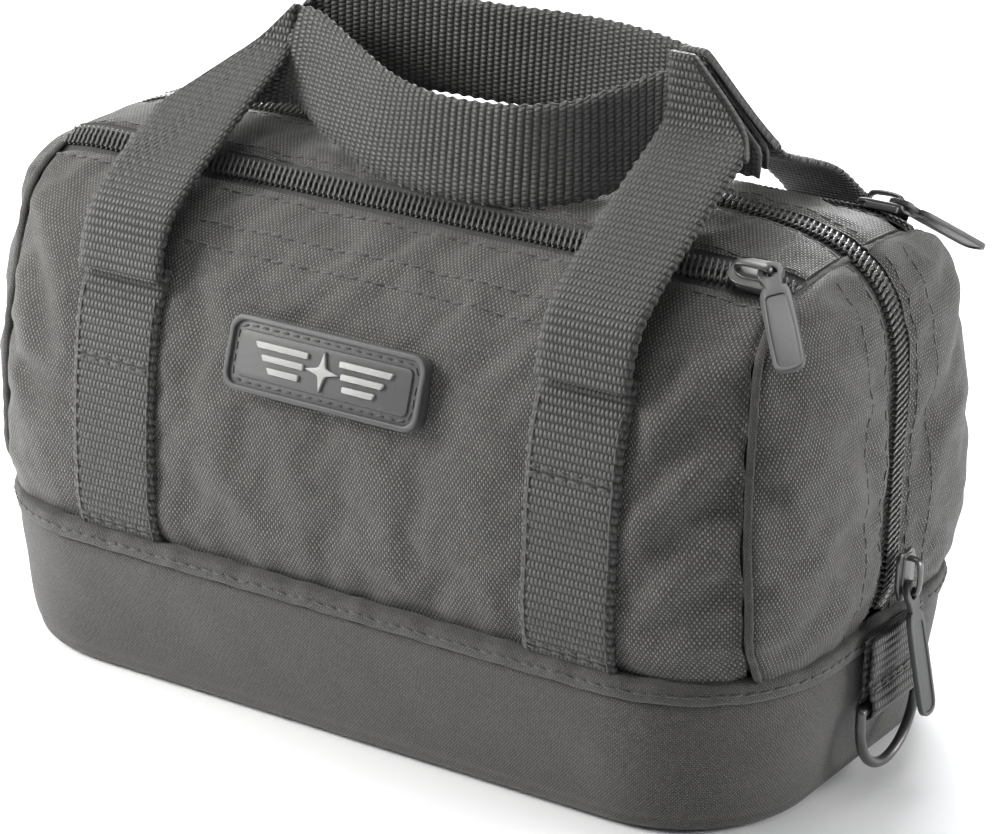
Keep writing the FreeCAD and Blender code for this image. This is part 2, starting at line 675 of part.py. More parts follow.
os.makedirs("parts", exist_ok=True)
for item in NODES:
    item.Shape.exportStep("parts/%s.step" % item.Label)
    box_size = item.Shape.BoundBox
    print("%-24s solids %d  volume %9.1f  x %.1f..%.1f  y %.1f..%.1f  z %.1f..%.1f" % (
        item.Label, len(item.Shape.Solids), item.Shape.Volume, box_size.XMin, box_size.XMax,
        box_size.YMin, box_size.YMax, box_size.ZMin, box_size.ZMax))
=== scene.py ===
import math

import bmesh
import bpy
import numpy as np
from mathutils import Matrix, Vector


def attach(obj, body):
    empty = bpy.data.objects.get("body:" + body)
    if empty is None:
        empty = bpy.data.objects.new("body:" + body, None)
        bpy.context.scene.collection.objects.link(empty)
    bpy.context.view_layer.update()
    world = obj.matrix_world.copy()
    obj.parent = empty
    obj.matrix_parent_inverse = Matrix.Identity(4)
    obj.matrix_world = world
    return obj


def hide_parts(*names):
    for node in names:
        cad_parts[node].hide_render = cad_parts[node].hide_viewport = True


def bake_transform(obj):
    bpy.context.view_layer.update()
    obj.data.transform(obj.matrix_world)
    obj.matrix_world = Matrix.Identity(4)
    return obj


# Looks of a small soft zippered carrying case. Sizes below are in millimetres unless a name says
# otherwise; meshes are written in metres. Front is -Y, the slider end is +X.

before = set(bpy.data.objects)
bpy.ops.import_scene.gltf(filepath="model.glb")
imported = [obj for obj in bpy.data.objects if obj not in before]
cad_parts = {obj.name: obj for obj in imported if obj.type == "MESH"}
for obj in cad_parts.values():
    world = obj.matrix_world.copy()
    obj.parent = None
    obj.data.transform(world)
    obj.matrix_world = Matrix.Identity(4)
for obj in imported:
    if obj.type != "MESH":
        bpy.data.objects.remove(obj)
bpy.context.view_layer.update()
MM, PI = 0.001, math.pi
X_AXIS, Y_AXIS, UP = np.eye(3)
rng = np.random.default_rng(11)


# ---------------------------------------------------------------- numbers

def catmull(points, per=10):
    """A smooth curve through the points, densely sampled."""
    p = np.asarray(points, float)
    q = np.vstack([2 * p[0] - p[1], p, 2 * p[-1] - p[-2]])
    t = np.linspace(0, 1, per, endpoint=False)[:, None]
    rows = []
    for a, b, c, d in zip(q, q[1:], q[2:], q[3:]):
        rows.append(0.5 * (2 * b + (c - a) * t + (2 * a - 5 * b + 4 * c - d) * t ** 2
                           + (3 * b - a - 3 * c + d) * t ** 3))
    return np.vstack(rows + [p[-1:]])


def lengths(points):
    """Distance along a polyline at each of its points."""
    return np.concatenate([[0.0], np.cumsum(np.linalg.norm(np.diff(points, axis=0), axis=1))])


def row_lengths(p):
    """Distance along each row of a grid of points."""
    steps = np.linalg.norm(np.diff(p, axis=1), axis=2)
    return np.concatenate([np.zeros((len(p), 1)), np.cumsum(steps, 1)], 1)


def at_length(values, s, t):
    """Points or directions given at the distances s, read at the distances t."""
    return np.stack([np.interp(t, s, values[:, k]) for k in range(3)], -1)


def resample(points, count=None, step=None):
    """Points at even distances along a polyline."""
    s = lengths(points)
    if count is None:
        count = max(2, int(round(s[-1] / step)) + 1)
    return at_length(points, s, np.linspace(0, s[-1], count))


def unit(v):
    """Vectors scaled to length 1."""
    return v / np.maximum(np.linalg.norm(v, axis=-1, keepdims=True), 1e-9)


def smooth_step(t):
    t = np.clip(t, 0, 1)
    return t * t * (3 - 2 * t)


def hash_noise(p, scale, seed):
    """Smooth noise from a sum of waves in fixed directions, about -1 to 1."""
    r = np.random.default_rng(seed)
    total = np.zeros(p.shape[:-1])
    for _ in range(9):
        direction = unit(r.normal(size=3))
        total += np.sin((p @ direction) * (2 * PI / (scale * r.uniform(0.7, 1.6))) + r.uniform(0, 2 * PI))
    return total / 4.0


# ---------------------------------------------------------------- form of the soft upper case

# outline of half of a cross section and half of the long section: (distance from the middle, height)
SIDE_RISE = [(64.2, 24), (65.0, 36), (65.6, 42), (66.5, 54), (66.4, 68), (65.4, 82), (62.8, 96),
             (58.6, 107.5), (52, 117.6), (42.5, 126), (31, 132.5), (18, 137.6), (7, 140.8)]
END_RISE = [(115.0, 24), (117.4, 36), (118.6, 42), (121.4, 49), (122.6, 56), (122.8, 64), (122.8, 80),
            (122.8, 96), (122, 106), (119.4, 116), (114.2, 125.6), (106, 132.6), (94, 137.4),
            (76, 140.4), (50, 141.5)]
TOP, CENTRE_Z = 141.6, 75.0
HALF_LONG, HALF_DEEP, CORNER = 122.8, 66.5, 44.0
# height of the base seam, height of the cloth's tucked foot, half of the gap that a zip fills
BOTTOM, FOOT, SLOT = 42.3, 40.9, 5.0
# the plan's corners widen with height, and the foot of the cloth tucks in towards the binding
CORNER_GROWTH, FOOT_TUCK = 14.0, 2.8
# the seams between the front and the end panels lean inwards: distance from the middle by height
SEAM_HEIGHTS, SEAM_X = [40, 60, 80, 100, 120, 132], [111, 110.5, 109.5, 108, 106.5, 106]
# middle of the sewn handle leg on the right (+1) and on the left (-1)
LEG_X = {1: 70.0, -1: -64.0}
# handle webbing: width, thickness and the distance between its ribs
WEB_WIDE, WEB_THICK, RIB = 25.4, 1.7, 2.0
# line of the pocket zips and their tilt
ZIP_Y, ZIP_Z, ZIP_TILT = 31.0, 132.5, math.radians(32)
BLEND_SMOOTH = 13.0
MIDDLE = np.array([0, 0, CENTRE_Z])


def polar(half):
    """An outline as angle from the vertical, radius, and how squarely the surface faces the middle."""
    mirrored = [(-a, z) for a, z in half[-1:-3:-1]]
    dense = catmull(half + [(0, TOP)] + mirrored, 12)
    a, z = dense[:, 0], dense[:, 1] - CENTRE_Z
    step = np.gradient(dense, axis=0)
    normal = unit(np.stack([-step[:, 1], step[:, 0]], 1))
    radial = unit(np.stack([a, z], 1))
    facing = np.abs((normal * radial).sum(1))
    angle = np.arctan2(a, z)
    order = np.argsort(angle)
    return angle[order], np.hypot(a, z)[order], facing[order]


SIDE, END = polar(SIDE_RISE), polar(END_RISE)


def polar_distance(profile, a, z):
    """Distance outside an outline, negative inside."""
    angle = np.arctan2(a, z - CENTRE_Z)
    radius = np.interp(angle, profile[0], profile[1])
    return (np.hypot(a, z - CENTRE_Z) - radius) * np.interp(angle, profile[0], profile[2])


def smooth_max(a, b):
    h = np.maximum(BLEND_SMOOTH - np.abs(a - b), 0) / BLEND_SMOOTH
    return np.maximum(a, b) + h ** 3 * BLEND_SMOOTH / 6


def form_distance(p):
    """Distance of points outside the form of the soft upper case."""
    x, y, z = np.abs(p[..., 0]), np.abs(p[..., 1]), p[..., 2]
    corner = CORNER + CORNER_GROWTH * smooth_step((z - 72) / 50)
    qx, qy = x - (HALF_LONG - corner), y - (HALF_DEEP - corner)
    plan = np.hypot(np.maximum(qx, 0), np.maximum(qy, 0)) + np.minimum(np.maximum(qx, qy), 0) - corner
    plan = plan + FOOT_TUCK * (1 - smooth_step((z - 39) / 14))
    ends = smooth_max(plan, polar_distance(END, x, z))
    return smooth_max(ends, polar_distance(SIDE, y, z))


def shoot(origin, direction, grow):
    """Where rays from inside meet the form, grown outwards by a number of millimetres."""
    low = np.full(origin.shape[:-1], 2.0)
    high = np.full(origin.shape[:-1], 190.0)
    for _ in range(28):
        middle = (low + high) / 2
        inside = form_distance(origin + direction * middle[..., None]) < grow
        low, high = np.where(inside, middle, low), np.where(inside, high, middle)
    return origin + direction * low[..., None]


def seam_at(z):
    """Distance of the end seams from the middle at a height."""
    return np.interp(z, SEAM_HEIGHTS, SEAM_X)


def sections(xs, grow=0.0, angles=(0.0, 128.0), samples=260):
    """Cross sections of one side of the case: rows along X, columns from the ridge to the base. The
    rows spread with the seams towards the base."""
    phi = np.radians(np.linspace(*angles, samples))
    origin = np.zeros((len(xs), samples, 3))
    origin[..., 0] = np.asarray(xs)[:, None]
    origin[..., 2] = CENTRE_Z
    direction = np.zeros_like(origin)
    direction[..., 1], direction[..., 2] = -np.sin(phi), np.cos(phi)
    height = shoot(origin, direction, grow)[..., 2]
    origin[..., 0] *= seam_at(height) / SEAM_X[-1]
    return shoot(origin, direction, grow)


def across_zip(p):
    """Distance down the front panel from the line of the pocket zip."""
    return (p[..., 1] + ZIP_Y) * -math.cos(ZIP_TILT) + (p[..., 2] - ZIP_Z) * -math.sin(ZIP_TILT)


def cropped(rows, keep, count):
    """Each row cut to where keep is positive, with exact ends, then evenly resampled."""
    made = []
    for row, value in zip(rows, keep):
        inside = np.nonzero(value > 0)[0]
        first, last = inside[0], inside[-1]
        part = [row[first:last + 1]]
        if first > 0:
            t = value[first] / (value[first] - value[first - 1])
            part.insert(0, (row[first] + (row[first - 1] - row[first]) * t)[None])
        if last + 1 < len(row):
            t = value[last] / (value[last] - value[last + 1])
            part.append((row[last] + (row[last + 1] - row[last]) * t)[None])
        made.append(resample(np.vstack(part), count))
    return np.array(made)


def away_from_middle(normals, points):
    """Normals of a line, turned to point away from the middle of the case."""
    return normals * np.where((normals * (points - MIDDLE)).sum(1, keepdims=True) < 0, -1, 1)


def grid_normals(p):
    """Unit normals of a grid of points, pointing away from the middle of the case."""
    n = unit(np.cross(np.gradient(p, axis=0), np.gradient(p, axis=1)))
    away = (p - MIDDLE) * (0.3, 1, 1)
    return n * np.where((n * away).sum(-1, keepdims=True) < 0, -1.0, 1.0)


# ---------------------------------------------------------------- meshes

# cloth coordinates are in millimetres and stay positive
UV_SHIFT = 500


def link(name, mesh):
    """An object for a mesh, in the scene."""
    obj = bpy.data.objects.new(name, mesh)
    bpy.context.scene.collection.objects.link(obj)
    return obj


def make(name, points, faces, uv=None, material=None):
    """A mesh object from points in millimetres. uv holds one pair for each corner of each face."""
    mesh = bpy.data.meshes.new(name)
    mesh.from_pydata((np.asarray(points, float) * MM).tolist(), [], [list(map(int, f)) for f in faces])
    mesh.validate()
    if uv is not None:
        layer = mesh.uv_layers.new(name="cloth")
        flat = np.concatenate([np.asarray(c, float).reshape(-1, 2) for c in uv]).astype(np.float32)
        if len(flat) == len(mesh.loops):
            layer.data.foreach_set("uv", flat.ravel())
    if material is not None:
        mesh.materials.append(material)
    mesh.polygons.foreach_set("use_smooth", np.full(len(mesh.polygons), True))
    obj = link(name, mesh)
    mesh.update()
    return obj


def grid_faces(index):
    """Quads between the neighbours of a grid of point numbers."""
    a, b, c, d = index[:-1, :-1], index[1:, :-1], index[1:, 1:], index[:-1, 1:]
    return np.stack([a, b, c, d], -1).reshape(-1, 4)


def outward(points, faces):
    """True when the faces of a closed mesh point outwards."""
    tri = points[faces[:, :3]]
    quad = points[faces[:, [0, 2, 3]]]
    volume = np.einsum("ij,ij->i", tri[:, 0], np.cross(tri[:, 1], tri[:, 2])).sum()
    volume += np.einsum("ij,ij->i", quad[:, 0], np.cross(quad[:, 1], quad[:, 2])).sum()
    return volume > 0


def grid_corners(values):
    """The values of a grid at the corners of its faces, in the order of grid_faces."""
    a, b, c, d = values[:-1, :-1], values[1:, :-1], values[1:, 1:], values[:-1, 1:]
    return np.stack([a, b, c, d], 2).reshape(-1, 4, values.shape[-1])


def closed(name, points, faces, corner_uv, material):
    """A closed mesh whose faces are turned outwards."""
    points = points.reshape(-1, 3)
    if not outward(points, faces):
        faces, corner_uv = faces[:, ::-1], corner_uv[:, ::-1]
    return make(name, points, faces, corner_uv, material)


def slab(name, p, n, thick, uv, material, rim=0.35):
    """A closed cloth piece: outer grid p with normals n, inner grid below it and a rounded rim."""
    rows, columns = p.shape[:2]
    inner = p - n * thick
    index = np.arange(rows * columns).reshape(rows, columns)
    loop = np.concatenate([index[0, :-1], index[:-1, -1], index[-1, :0:-1], index[:0:-1, 0]])
    edge = p.reshape(-1, 3)[loop]
    below = inner.reshape(-1, 3)[loop]
    along = unit(np.roll(edge, -1, 0) - np.roll(edge, 1, 0))
    side = unit(np.cross(along, n.reshape(-1, 3)[loop]))
    centre = p.reshape(-1, 3).mean(0)
    if ((edge - centre) * side).sum() < 0:
        side = -side
    middle = (edge + below) / 2 + side * rim
    points = np.vstack([p.reshape(-1, 3), inner.reshape(-1, 3), middle])
    total = rows * columns
    ring = np.arange(len(loop)) + 2 * total
    following = np.roll(np.arange(len(loop)), -1)
    upper = np.stack([loop, ring, ring[following], loop[following]], 1)
    lower = np.stack([ring, loop + total, loop[following] + total, ring[following]], 1)
    faces = np.vstack([grid_faces(index), grid_faces(index + total)[:, ::-1], upper, lower])
    uv = uv.reshape(-1, 2)
    return closed(name, points, faces, np.vstack([uv, uv, uv[loop]])[faces], material)


def grid_uv(p):
    """Cloth coordinates in millimetres from the grid's own lengths."""
    du = np.linalg.norm(np.diff(p, axis=0), axis=2).mean(1)
    v = row_lengths(p)
    u = np.concatenate([[0], np.cumsum(du)])[:, None] + v * 0
    return np.stack([u - u.mean(), v], -1) + UV_SHIFT


def finer(obj):
    """One level of subdivision."""
    modifier = obj.modifiers.new("finer", "SUBSURF")
    modifier.levels = modifier.render_levels = 1
    return obj


def capsule(sides=7):
    """Template of one rounded bar along X, as (which end, radii beyond it, Y, Z) of each point."""
    rings = [(-1.0, 0, -1.0), (-1.0, 0.55, -0.75), (-1.0, 1.0, 0.0), (1.0, 1.0, 0.0), (1.0, 0.55, 0.75),
             (1.0, 0, 1.0)]
    turn = np.linspace(0, 2 * PI, sides, endpoint=False)
    points = []
    for end, radius, out in rings:
        if radius == 0:
            points.append([end, out, 0, 0])
        else:
            points += [[end, out, radius * math.cos(t), radius * math.sin(t)] for t in turn]
    faces, starts = [], [0, 1, 1 + sides, 1 + 2 * sides, 1 + 3 * sides]
    last = 1 + 4 * sides
    for k in range(sides):
        following = (k + 1) % sides
        faces.append([0, 1 + following, 1 + k])
        faces.append([last, starts[4] + k, starts[4] + following])
        for a, b in zip(starts[1:4], starts[2:5]):
            faces.append([a + k, a + following, b + following, b + k])
    return np.array(points), faces


CAPSULE = capsule()


def capsules(name, centres, directions, normals, half_long, radius, material, flat):
    """Many short rounded bars in one mesh: stitches of thread or elements of a zip."""
    template, template_faces = CAPSULE
    centres, x = np.asarray(centres, float), unit(np.asarray(directions, float))
    z = np.asarray(normals, float)
    z = unit(z - x * (z * x).sum(1, keepdims=True))
    y = np.cross(z, x)
    half_long = np.broadcast_to(half_long, len(centres))[:, None, None]
    along = template[None, :, :1] * half_long + template[None, :, 1:2] * radius
    points = (centres[:, None] + x[:, None] * along + y[:, None] * template[None, :, 2:3] * radius
              + z[:, None] * template[None, :, 3:4] * radius * flat)
    size = len(template)
    faces = [[k * size + i for i in f] for k in range(len(centres)) for f in template_faces]
    return make(name, points.reshape(-1, 3), faces, None, material)


def stitch_row(path, normals, stitch, gap):
    """Centres, directions and normals of stitches along a path."""
    s = lengths(path)
    centres = np.arange(stitch / 2, s[-1] - stitch / 2, stitch + gap)
    ahead, behind = at_length(path, s, centres + stitch / 2), at_length(path, s, centres - stitch / 2)
    return (ahead + behind) / 2, ahead - behind, unit(at_length(normals, s, centres))


def sew(name, rows, radius=0.32, stitch=2.9, gap=0.9, sink=0.02):
    """One mesh of thread for several rows of stitches, each (path, normals)."""
    parts = [stitch_row(p, n, stitch, gap) for p, n in rows]
    centres = np.vstack([a for a, _, _ in parts])
    directions = np.vstack([b for _, b, _ in parts])
    normals = np.vstack([c for _, _, c in parts])
    tilt = rng.normal(0, 0.05, (len(centres), 1)) * np.cross(normals, unit(directions))
    return capsules(name, centres - normals * sink, unit(directions) + tilt, normals, stitch / 2 - radius,
                    radius, THREAD, 0.7)


# ---------------------------------------------------------------- materials

class Shader:
    """Writes node maths as plain calls."""

    def __init__(self, name, rough, **sockets):
        self.material = bpy.data.materials.new(name)
        self.material.use_nodes = True
        self.tree = self.material.node_tree
        self.surface = self.tree.nodes["Principled BSDF"]
        self.surface.inputs["Roughness"].default_value = rough
        for key, value in sockets.items():
            self.surface.inputs[key.replace("_", " ")].default_value = value

    def put(self, socket, value):
        if isinstance(value, (int, float)):
            socket.default_value = value
        else:
            self.tree.links.new(value, socket)

    def node(self, kind, **settings):
        made = self.tree.nodes.new(kind)
        for key, value in settings.items():
            setattr(made, key, value)
        return made

    def do(self, operation, a, b=None, c=None):
        made = self.node("ShaderNodeMath", operation=operation)
        for socket, value in zip(made.inputs, (a, b, c)):
            if value is not None:
                self.put(socket, value)
        return made.outputs[0]

    def mix(self, a, b, factor):
        return self.do("ADD", self.do("MULTIPLY", a, self.do("SUBTRACT", 1.0, factor)),
                       self.do("MULTIPLY", b, factor))

    def cloth_uv(self):
        split = self.node("ShaderNodeSeparateXYZ")
        self.put(split.inputs[0], self.node("ShaderNodeUVMap", uv_map="cloth").outputs[0])
        return split.outputs[0], split.outputs[1]

    def noise(self, scale, detail=2.0, rough=0.5):
        made = self.node("ShaderNodeTexNoise")
        made.inputs["Scale"].default_value = scale
        made.inputs["Detail"].default_value = detail
        made.inputs["Roughness"].default_value = rough
        self.put(made.inputs["Vector"], self.node("ShaderNodeTexCoord").outputs["Object"])
        return made.outputs["Fac"]

    def scaled(self, value, noise, spread, low):
        """A value times a noise that is stretched to run up from low."""
        return self.do("MULTIPLY", value, self.do("MULTIPLY_ADD", noise, spread, low))

    def tint(self, colour, factor):
        """Sets the base colour, scaled by a factor socket."""
        made = self.node("ShaderNodeVectorMath", operation="SCALE")
        made.inputs[0].default_value = colour
        self.put(made.inputs["Scale"], factor)
        self.put(self.surface.inputs["Base Color"], made.outputs[0])

    def cell_noise(self, u, v):
        """A random value for each unit square of the cloth coordinates."""
        cell = self.node("ShaderNodeCombineXYZ")
        self.put(cell.inputs[0], self.do("FLOOR", u))
        self.put(cell.inputs[1], self.do("FLOOR", v))
        made = self.node("ShaderNodeTexWhiteNoise", noise_dimensions="2D")
        self.put(made.inputs["Vector"], cell.outputs[0])
        return made.outputs["Value"]

    def bump(self, height, relief):
        """Ends the material with a relief of the given height in millimetres."""
        made = self.node("ShaderNodeBump")
        made.inputs["Distance"].default_value = relief * MM
        made.inputs["Strength"].default_value = 1.0
        self.put(made.inputs["Height"], height)
        self.put(self.surface.inputs["Normal"], made.outputs[0])
        return self.material


def weave(shader, u, v, weft):
    """Plain weave height with one yarn per unit. The upright yarns stand out as staggered oval floats; the
    crosswise yarns lie lower by the factor weft, and the cloth colour made from this height paints them darker as
    painted shade."""
    fu, fv = shader.do("FRACT", u), shader.do("FRACT", v)
    cells = shader.do("ADD", shader.do("FLOOR", u), shader.do("FLOOR", v))
    odd = shader.do("FLOORED_MODULO", cells, 2.0)
    hu = shader.do("SINE", shader.do("MULTIPLY", fu, PI))
    hv = shader.do("SINE", shader.do("MULTIPLY", fv, PI))
    upright = shader.do("MULTIPLY", shader.do("POWER", hu, 0.7), shader.do("POWER", hv, 0.45))
    crosswise = shader.do("MULTIPLY", shader.do("MULTIPLY", shader.do("POWER", hv, 0.8), hu), weft)
    return shader.mix(crosswise, upright, odd)


def cloth_material(name, colour, pitch, relief, relief_shading=0.5, rough=0.62, sheen=0.25, uneven=0.16, weft=0.6):
    """Woven cloth; pitch holds the width of one upright yarn and the height of one crosswise yarn."""
    shader = Shader(name, rough, Sheen_Weight=sheen, Sheen_Roughness=0.45, Specular_IOR_Level=0.4)
    u, v = shader.cloth_uv()
    wander = shader.do("MULTIPLY_ADD", shader.noise(45.0, 2.0), 1.6, -0.8)
    u = shader.do("DIVIDE", shader.do("ADD", u, wander), pitch[0])
    v = shader.do("DIVIDE", shader.do("ADD", v, wander), pitch[1])
    height = weave(shader, u, v, weft)
    # colour follows the weave's height: float tops are lighter and the gaps between yarns darker, which is painted
    # shade and highlight; every float has its own brightness, and the cloth ages unevenly over larger areas
    value = shader.do("MULTIPLY_ADD", shader.do("POWER", height, 1.3), relief_shading, 1.0 - relief_shading * 0.4)
    value = shader.scaled(value, shader.cell_noise(u, v), 0.6, 0.7)
    value = shader.scaled(value, shader.noise(28.0, 4.0, 0.6), uneven * 2, 1.0 - uneven)
    shader.tint(colour, value)
    shader.put(shader.surface.inputs["Roughness"], shader.do("MULTIPLY_ADD", height, -0.2, rough + 0.12))
    return shader.bump(height, relief)


def webbing_material(name, colour, rib, dash):
    """Ribs across the band, each made of short floats in a brick pattern."""
    shader = Shader(name, 0.5, Sheen_Weight=0.2, Sheen_Roughness=0.4, Specular_IOR_Level=0.45)
    u, v = shader.cloth_uv()
    row = shader.do("DIVIDE", v, rib)
    number = shader.do("FLOOR", row)
    shifted = shader.do("ADD", shader.do("DIVIDE", u, dash), shader.do("MULTIPLY", number, 0.5))
    hu = shader.do("SINE", shader.do("MULTIPLY", shader.do("FRACT", shifted), PI))
    hv = shader.do("SINE", shader.do("MULTIPLY", shader.do("FRACT", row), PI))
    height = shader.do("MULTIPLY", shader.do("POWER", hu, 0.5), shader.do("POWER", hv, 0.8))
    # colour follows the rib height: float tops lighter and the gaps between them near black, painted shade and
    # highlight
    value = shader.do("MULTIPLY_ADD", height, 1.4, 0.05)
    value = shader.scaled(value, shader.cell_noise(shifted, row), 0.24, 0.88)
    value = shader.scaled(value, shader.noise(35.0, 3.0), 0.3, 0.85)
    shader.tint(colour, value)
    shader.put(shader.surface.inputs["Roughness"], shader.do("MULTIPLY_ADD", height, -0.2, 0.66))
    return shader.bump(height, 0.34)


def moulded_material(name, colour, rough, grain=900.0, relief=0.05, uneven=0.1, **sockets):
    """Plastic, rubber or painted metal with a fine grain and slight wear."""
    shader = Shader(name, rough, **sockets)
    fine, large = shader.noise(grain, 3.0), shader.noise(90.0, 4.0, 0.6)
    shader.tint(colour, shader.do("MULTIPLY_ADD", large, uneven * 2, 1 - uneven))
    shader.put(shader.surface.inputs["Roughness"], shader.do("MULTIPLY_ADD", large, 0.16, rough - 0.08))
    return shader.bump(fine, relief)


BODY_CLOTH = cloth_material("ballistic_cloth", (0.081, 0.079, 0.072), (0.52, 0.82), 0.42, 2.2, 0.48, 0.2,
                            0.12, 0.34)
BASE_CLOTH = cloth_material("base_cloth", (0.052, 0.050, 0.046), (0.42, 0.5), 0.20, 1.5, 0.6, 0.25, 0.12, 0.5)
BINDING_CLOTH = cloth_material("binding_cloth", (0.046, 0.045, 0.042), (0.45, 0.55), 0.18, 1.4)
LINING_CLOTH = cloth_material("lining_cloth", (0.052, 0.052, 0.052), (0.3, 0.36), 0.07, 0.5, 0.5, 0.15)
TAPE_CLOTH = cloth_material("tape_cloth", (0.026, 0.026, 0.025), (0.45, 0.55), 0.12, 0.8)
WEBBING = webbing_material("ribbed_webbing", (0.039, 0.040, 0.037), 2.0, 1.15)
THREAD = moulded_material("sewing_thread", (0.017, 0.017, 0.016), 0.55, 3000, 0.03, 0.2, Sheen_Weight=0.3)
COIL = moulded_material("zip_coil", (0.075, 0.075, 0.072), 0.28, 2500, 0.02, 0.2)
BOARD = moulded_material("board", (0.05, 0.045, 0.04), 0.75, 900, 0.1)
SLIDER_METAL = moulded_material("dark_nickel", (0.12, 0.12, 0.118), 0.36, 600, 0.02, 0.12, Metallic=0.8)
PULL_METAL = moulded_material("satin_pull", (0.062, 0.063, 0.063), 0.44, 700, 0.04, 0.12, Metallic=0.3)
RING_METAL = moulded_material("painted_ring", (0.085, 0.085, 0.085), 0.34, 500, 0.03, 0.15, Metallic=0.7)
RUBBER = moulded_material("badge_rubber", (0.060, 0.061, 0.062), 0.5, 800, 0.06, 0.1)
RUBBER_LIGHT = moulded_material("badge_motif", (0.33, 0.33, 0.32), 0.42, 800, 0.05, 0.1)

# ---------------------------------------------------------------- soft panels

MIRROR = np.array([1.0, -1.0, 1.0])
CLOTH_THICK, PIPING_SIDES = 1.3, 10


def settle(p, pinned, seed, cap, pressure=2.4, growth=0.014, frames=16):
    """Cloth simulation of a grid with its seams pinned: the cloth is cut a little larger than its
    frame, so it fills out and wrinkles along the seams. No point moves by more than cap."""
    r, c = p.shape[:2]
    n = grid_normals(p)
    start = p + n * (hash_noise(p, 26.0, seed) * 0.25 + hash_noise(p, 9.0, seed + 1) * 0.12)[..., None]
    faces = grid_faces(np.arange(r * c).reshape(r, c))
    flat = start.reshape(-1, 3)
    first = faces[len(faces) // 2]
    facing = np.cross(flat[first[1]] - flat[first[0]], flat[first[3]] - flat[first[0]])
    if (facing * n.reshape(-1, 3)[first[0]]).sum() < 0:
        faces = faces[:, ::-1]
    obj = make("settling", flat, faces)
    group = obj.vertex_groups.new(name="pinned")
    for level in np.unique(np.round(pinned, 2)):
        if level > 0:
            same = np.nonzero(np.abs(pinned.ravel() - level) < 0.006)[0]
            group.add(same.tolist(), float(level), "REPLACE")
    cloth = obj.modifiers.new("cloth", "CLOTH")
    for key, value in {"quality": 5, "mass": 0.08, "vertex_group_mass": "pinned", "tension_stiffness": 12,
                       "compression_stiffness": 12, "shear_stiffness": 6, "bending_stiffness": 1.4,
                       "air_damping": 2.0, "shrink_min": -growth, "use_pressure": True,
                       "uniform_pressure_force": pressure}.items():
        setattr(cloth.settings, key, value)
    cloth.settings.effector_weights.gravity = 0
    cloth.collision_settings.use_collision = False
    cloth.collision_settings.use_self_collision = False
    cloth.point_cache.frame_start, cloth.point_cache.frame_end = 1, frames
    for step in range(1, frames + 1):
        bpy.context.scene.frame_set(step)
    done = obj.evaluated_get(bpy.context.evaluated_depsgraph_get()).to_mesh()
    moved = np.zeros(r * c * 3, np.float32)
    done.vertices.foreach_get("co", moved)
    obj.evaluated_get(bpy.context.evaluated_depsgraph_get()).to_mesh_clear()
    bpy.data.objects.remove(obj)
    bpy.context.scene.frame_set(1)
    shift = moved.reshape(r, c, 3) / MM - p
    size = np.linalg.norm(shift, axis=-1, keepdims=True)
    return p + shift * np.minimum(1.0, cap / np.maximum(size, 1e-6))


def crease(p, n, line, depth, width):
    """Presses a fold into a grid along a polyline, with a soft swelling beside it."""
    line = catmull(line, 8)
    away = np.full(p.shape[:2], 1e9)
    where = np.zeros(p.shape[:2])
    for k, (a, b) in enumerate(zip(line, line[1:])):
        ab = b - a
        t = np.clip(((p - a) @ ab) / max(ab @ ab, 1e-9), 0, 1)
        d = np.linalg.norm(p - (a + ab * t[..., None]), axis=-1)
        closer = d < away
        away = np.where(closer, d, away)
        where = np.where(closer, (k + t) / (len(line) - 1), where)
    fade = np.sin(PI * np.clip(where, 0, 1)) ** 0.6
    press = -np.exp(-(away / width) ** 2) + 0.35 * np.exp(-((away - 2.1 * width) / width) ** 2)
    return p + n * (press * fade * depth)[..., None]


def pucker(p, n, distance, amount, wave, reach, seed, along):
    """Small gathers made by a row of stitches: ripples that fade away from the seam."""
    r = np.random.default_rng(seed)
    phase = np.cumsum(1 + 0.35 * r.normal(size=400))
    ripple = np.sin(np.interp(along / wave * 2, np.arange(400), phase) * PI)
    fade = np.exp(-np.abs(distance) / reach) * (1 - 0.9 * np.exp(-(distance / 2.2) ** 2))
    return p + n * (amount * ripple * fade - 0.35 * amount * fade)[..., None]


def leg_band(x, margin=0.0):
    """1 below a handle's leg, fading to 0 over the margin outside it."""
    away = np.minimum(np.abs(x - LEG_X[1]), np.abs(x - LEG_X[-1])) - WEB_WIDE / 2
    return 1 - smooth_step(away / max(margin, 0.01)) if margin else (away < 0).astype(float)


class Surface:
    """A finished cloth grid that other pieces can lie on."""

    def __init__(self, p, n, shares):
        self.p, self.n, self.shares = p, n, shares

    def at(self, x, z):
        """Point and normal at a place given by its X and height."""
        xs = self.shares * seam_at(z)
        i = np.clip(np.searchsorted(xs, x) - 1, 0, len(xs) - 2)
        t = np.clip((x - xs[i]) / (xs[i + 1] - xs[i]), 0, 1)
        found = []
        for k, w in ((i, 1 - t), (i + 1, t)):
            column, normal = self.p[k], self.n[k]
            order = np.argsort(column[:, 2])
            height = column[order, 2]
            spot = [np.interp(z, height, column[order, c]) for c in range(3)]
            face = [np.interp(z, height, normal[order, c]) for c in range(3)]
            found.append((np.array(spot) * w, np.array(face) * w))
        point = found[0][0] + found[1][0]
        point[0], point[2] = x, z
        return point, unit(found[0][1] + found[1][1])


def place(obj, sign):
    """Mirrors a finished front piece to the rear."""
    if sign > 0:
        co = np.zeros(len(obj.data.vertices) * 3)
        obj.data.vertices.foreach_get("co", co)
        obj.data.vertices.foreach_set("co", (co.reshape(-1, 3) * MIRROR).ravel())
        obj.data.flip_normals()
    return obj


